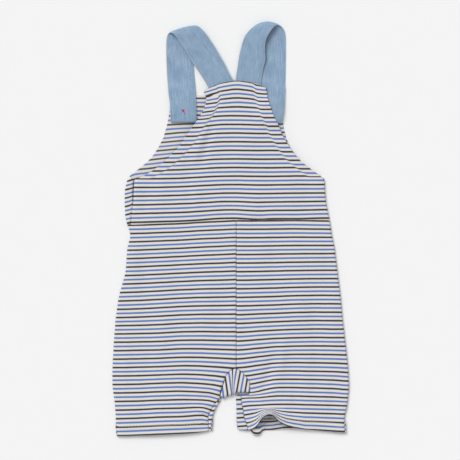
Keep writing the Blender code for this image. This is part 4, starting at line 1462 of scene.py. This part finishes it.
def add_thread(shape, start, end, radius):
    """One rounded body of thread between two points."""
    way = Vector(end) - Vector(start)
    made = bmesh.ops.create_uvsphere(shape, u_segments=6, v_segments=4, radius=1.0)
    long = way.length / 2 * MM
    bmesh.ops.scale(shape, verts=made["verts"], vec=(radius * MM, radius * MM, long))
    turn = way.to_track_quat("Z", "Y").to_matrix()
    bmesh.ops.rotate(shape, verts=made["verts"], cent=(0, 0, 0), matrix=turn)
    middle = (Vector(start) + Vector(end)) / 2 * MM
    bmesh.ops.translate(shape, verts=made["verts"], vec=middle)


def thread_object(name, shape, material):
    mesh = mesh_from(name, shape)
    mesh.shade_smooth()
    piece = add_piece(name, mesh, material)
    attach(piece, "root")
    return piece


print("stitches are", STITCH_LENGTH, "mm long")

# %% [markdown]
# Each leg hem is held by two rows of stitches, sewn at once with a twin needle, about
# as far up as the cloth is turned. One row falls on a navy stripe and greys it. The
# same surface formulas that laid the cloth give the stitches their places.

# %% Hem stitching
HEM_STITCH_UP = (10.6, 7.4)
HEM_THREAD_RADIUS = 0.3
STITCH_SAMPLES = 160


def hem_stitches(side):
    name = "left" if side < 0 else "right"
    runs = []
    for up in HEM_STITCH_UP:
        y = np.full(STITCH_SAMPLES, HEM_Y + up)
        outline = SIDES(name, y) - side * (FOLD_RADIUS + 0.6)
        inner_end = leg_inner_edge(side, y) + side * 0.8
        x = mix(outline, inner_end, np.linspace(0, 1, STITCH_SAMPLES))
        z = leg_surface(side, x, y)
        laid = bend_rows(x, y)
        if side > 0:
            pull, rise = lifted_hem(x, y)
            laid, z = laid + pull, z + rise
        runs.append(np.column_stack([x, laid, z + THREAD_RADIUS * 0.4]))
    return stitches("hem_stitching_" + name, runs, CREAM_THREAD,
                    radius=HEM_THREAD_RADIUS)


hem_stitching = {side: hem_stitches(side) for side in (-1, 1)}
print("hem stitching has", len(hem_stitching[1].data.polygons), "faces on the right leg")

# %% [markdown]
# The armholes and the top of the back bib have one row of stitches along the inner edge
# of their narrow hems.

# %% Armhole stitching


def armhole_stitches():
    runs = []
    level = np.linspace(ARMHOLE_Y + 3, BIB_TOP - 6, 220)
    width = BACK_BIB("right_x", level) - BACK_BIB("left_x", level)
    from_edge = ARMHOLE_BAND / ARMHOLE_SLANT
    for share in (from_edge / width, 1 - from_edge / width):
        x, y = bib_row(level, share)
        z = bib_height(x, y) + over_buttons(x, y) - STITCH_DIMPLE + THREAD_RADIUS * 0.4
        runs.append(np.column_stack([x, y, z]))
    return stitches("armhole_stitching", runs, CREAM_THREAD)


armhole_stitching = armhole_stitches()
print("armhole stitching has", len(armhole_stitching.data.polygons), "faces")

# %% [markdown]
# A row of pale blue stitches runs along each edge of the straps, on both faces, which
# keeps a turned tube flat. At its button each strap has a small red knot with a tail,
# where the thread was fastened off.

# %% Strap stitching and red knots
KNOT = [
    # the ends of each turn of thread, in mm from the middle of the button
    (-1.9, 1.6, 1.1, 2.2),
    (-1.6, 0.6, 1.5, 1.2),
    (-1.2, 2.3, 0.4, -0.9),
    (0.6, 2.6, 1.4, -0.4),
    (-0.6, 0.1, 1.6, 0.3),
    (1.1, -0.2, 1.5, -2.3),
    (1.5, -2.1, 1.9, -4.4),
]
KNOT_RADIUS = 0.42
CROSS_RADIUS = 0.35
CROSS_HEIGHT = 0.55
SHANK_RADIUS = 0.4
SHANK_TURNS = 4
STRAP_THREAD_RADIUS = 0.16


def strap_stitches(name):
    grid, off, shares, _ = strap_middle(name)
    runs = []
    for edge in (-1, 1):
        stitch_share = edge * (1 - 2 * STRAP_STITCH_IN / STRAP_WIDTH)
        column = int(np.argmin(np.abs(shares - stitch_share)))
        for face in (-1, 1):
            runs.append((grid + off * face * (STRAP_WALL / 2 - 0.05))[2:-2, column])
    return stitches(name + "_stitching", runs, BLUE_THREAD,
                    radius=STRAP_THREAD_RADIUS)


def red_knot(name):
    cx, cy = BUTTONS[name]
    top = BUTTON_HUMP + 2.4 + STRAP_WALL / 2
    knot = bmesh.new()
    for step, (x0, y0, x1, y1) in enumerate(KNOT):
        z = top + 0.15 * (step % 3)
        add_thread(knot, (cx + x0, cy + y0, z), (cx + x1, cy + y1, z), KNOT_RADIUS)
    for side_x, side_y in ((1, 1), (1, -1)):
        ends = [(cx + s * side_x * HOLE_OFFSET, cy + s * side_y * HOLE_OFFSET, CROSS_HEIGHT)
                for s in (-1, 1)]
        add_thread(knot, ends[0], ends[1], CROSS_RADIUS)
    for turn in range(SHANK_TURNS):
        x, y = cx + 0.5 * math.cos(turn * 1.6), cy + 0.5 * math.sin(turn * 1.6)
        add_thread(knot, (x, y, 0.6), (x, y, BUTTON_HUMP + 2.2), SHANK_RADIUS)
    return thread_object("red_thread_" + name, knot, RED_THREAD)


strap_stitching = {name: strap_stitches(name) for name in STRAP_EDGES}
red_knots = {name: red_knot(name) for name in BUTTONS}
print("red knots:", ", ".join(piece.name for piece in red_knots.values()))

# %% [markdown]
# The table top is a plain matt sheet. Then a table lists each piece of cloth with the
# size of its flat rectangle, its true area, how it is held and what it lies on; only the
# pieces are read from it, to attach each one and hide its CAD node. The areas come from
# the laid shapes, since a pressed garment lies as flat as it was cut.

# %% Table top and cut sizes
TABLE_SIZE = 8.0
TABLE_DROP = 0.3


def table_top():
    paint = Finish("Pale table", roughness=0.85, specular=0.1)
    place = paint.node("ShaderNodeTexCoord").outputs["Object"]
    speck = paint.grain(place, 40.0)
    low, high = (TABLE_GREY - 0.004,) * 3 + (1.0,), (TABLE_GREY + 0.004,) * 3 + (1.0,)
    paint.finish(paint.blend(speck, low, high))
    sheet = bmesh.new()
    bmesh.ops.create_grid(sheet, x_segments=2, y_segments=2, size=TABLE_SIZE / 2)
    top = add_piece("table_top", mesh_from("table_top", sheet), paint.material)
    top.location.z = -TABLE_DROP * MM
    return top


table_sheet = table_top()

CUTS = [
    # piece, flat width and length in m, area in square m, how it is held, what it lies on
    (back_leg_left, (0.150, 0.270), 0.0335, "laid", "front_leg_left"),
    (back_leg_right, (0.150, 0.270), 0.0325, "laid", "front_leg_right"),
    (front_leg_left, (0.165, 0.270), 0.0350, "folded", "table_top"),
    (front_leg_right, (0.165, 0.270), 0.0345, "folded", "table_top"),
    (crotch_gusset, (0.036, 0.036), 0.0009, "folded", "front_leg_right"),
    (upper_back, (0.240, 0.180), 0.0255, "laid", "front_bib"),
    (upper_front, (0.260, 0.155), 0.0285, "folded", "table_top"),
]
for piece, flat_size, cut_area, held, under in CUTS:
    node = piece.name.removesuffix(CLOTH_END)
    dress(piece, node)
for name, piece in strap_pieces.items():
    dress(piece, name)
print(len(CUTS) + len(strap_pieces), "pieces of cloth are declared")
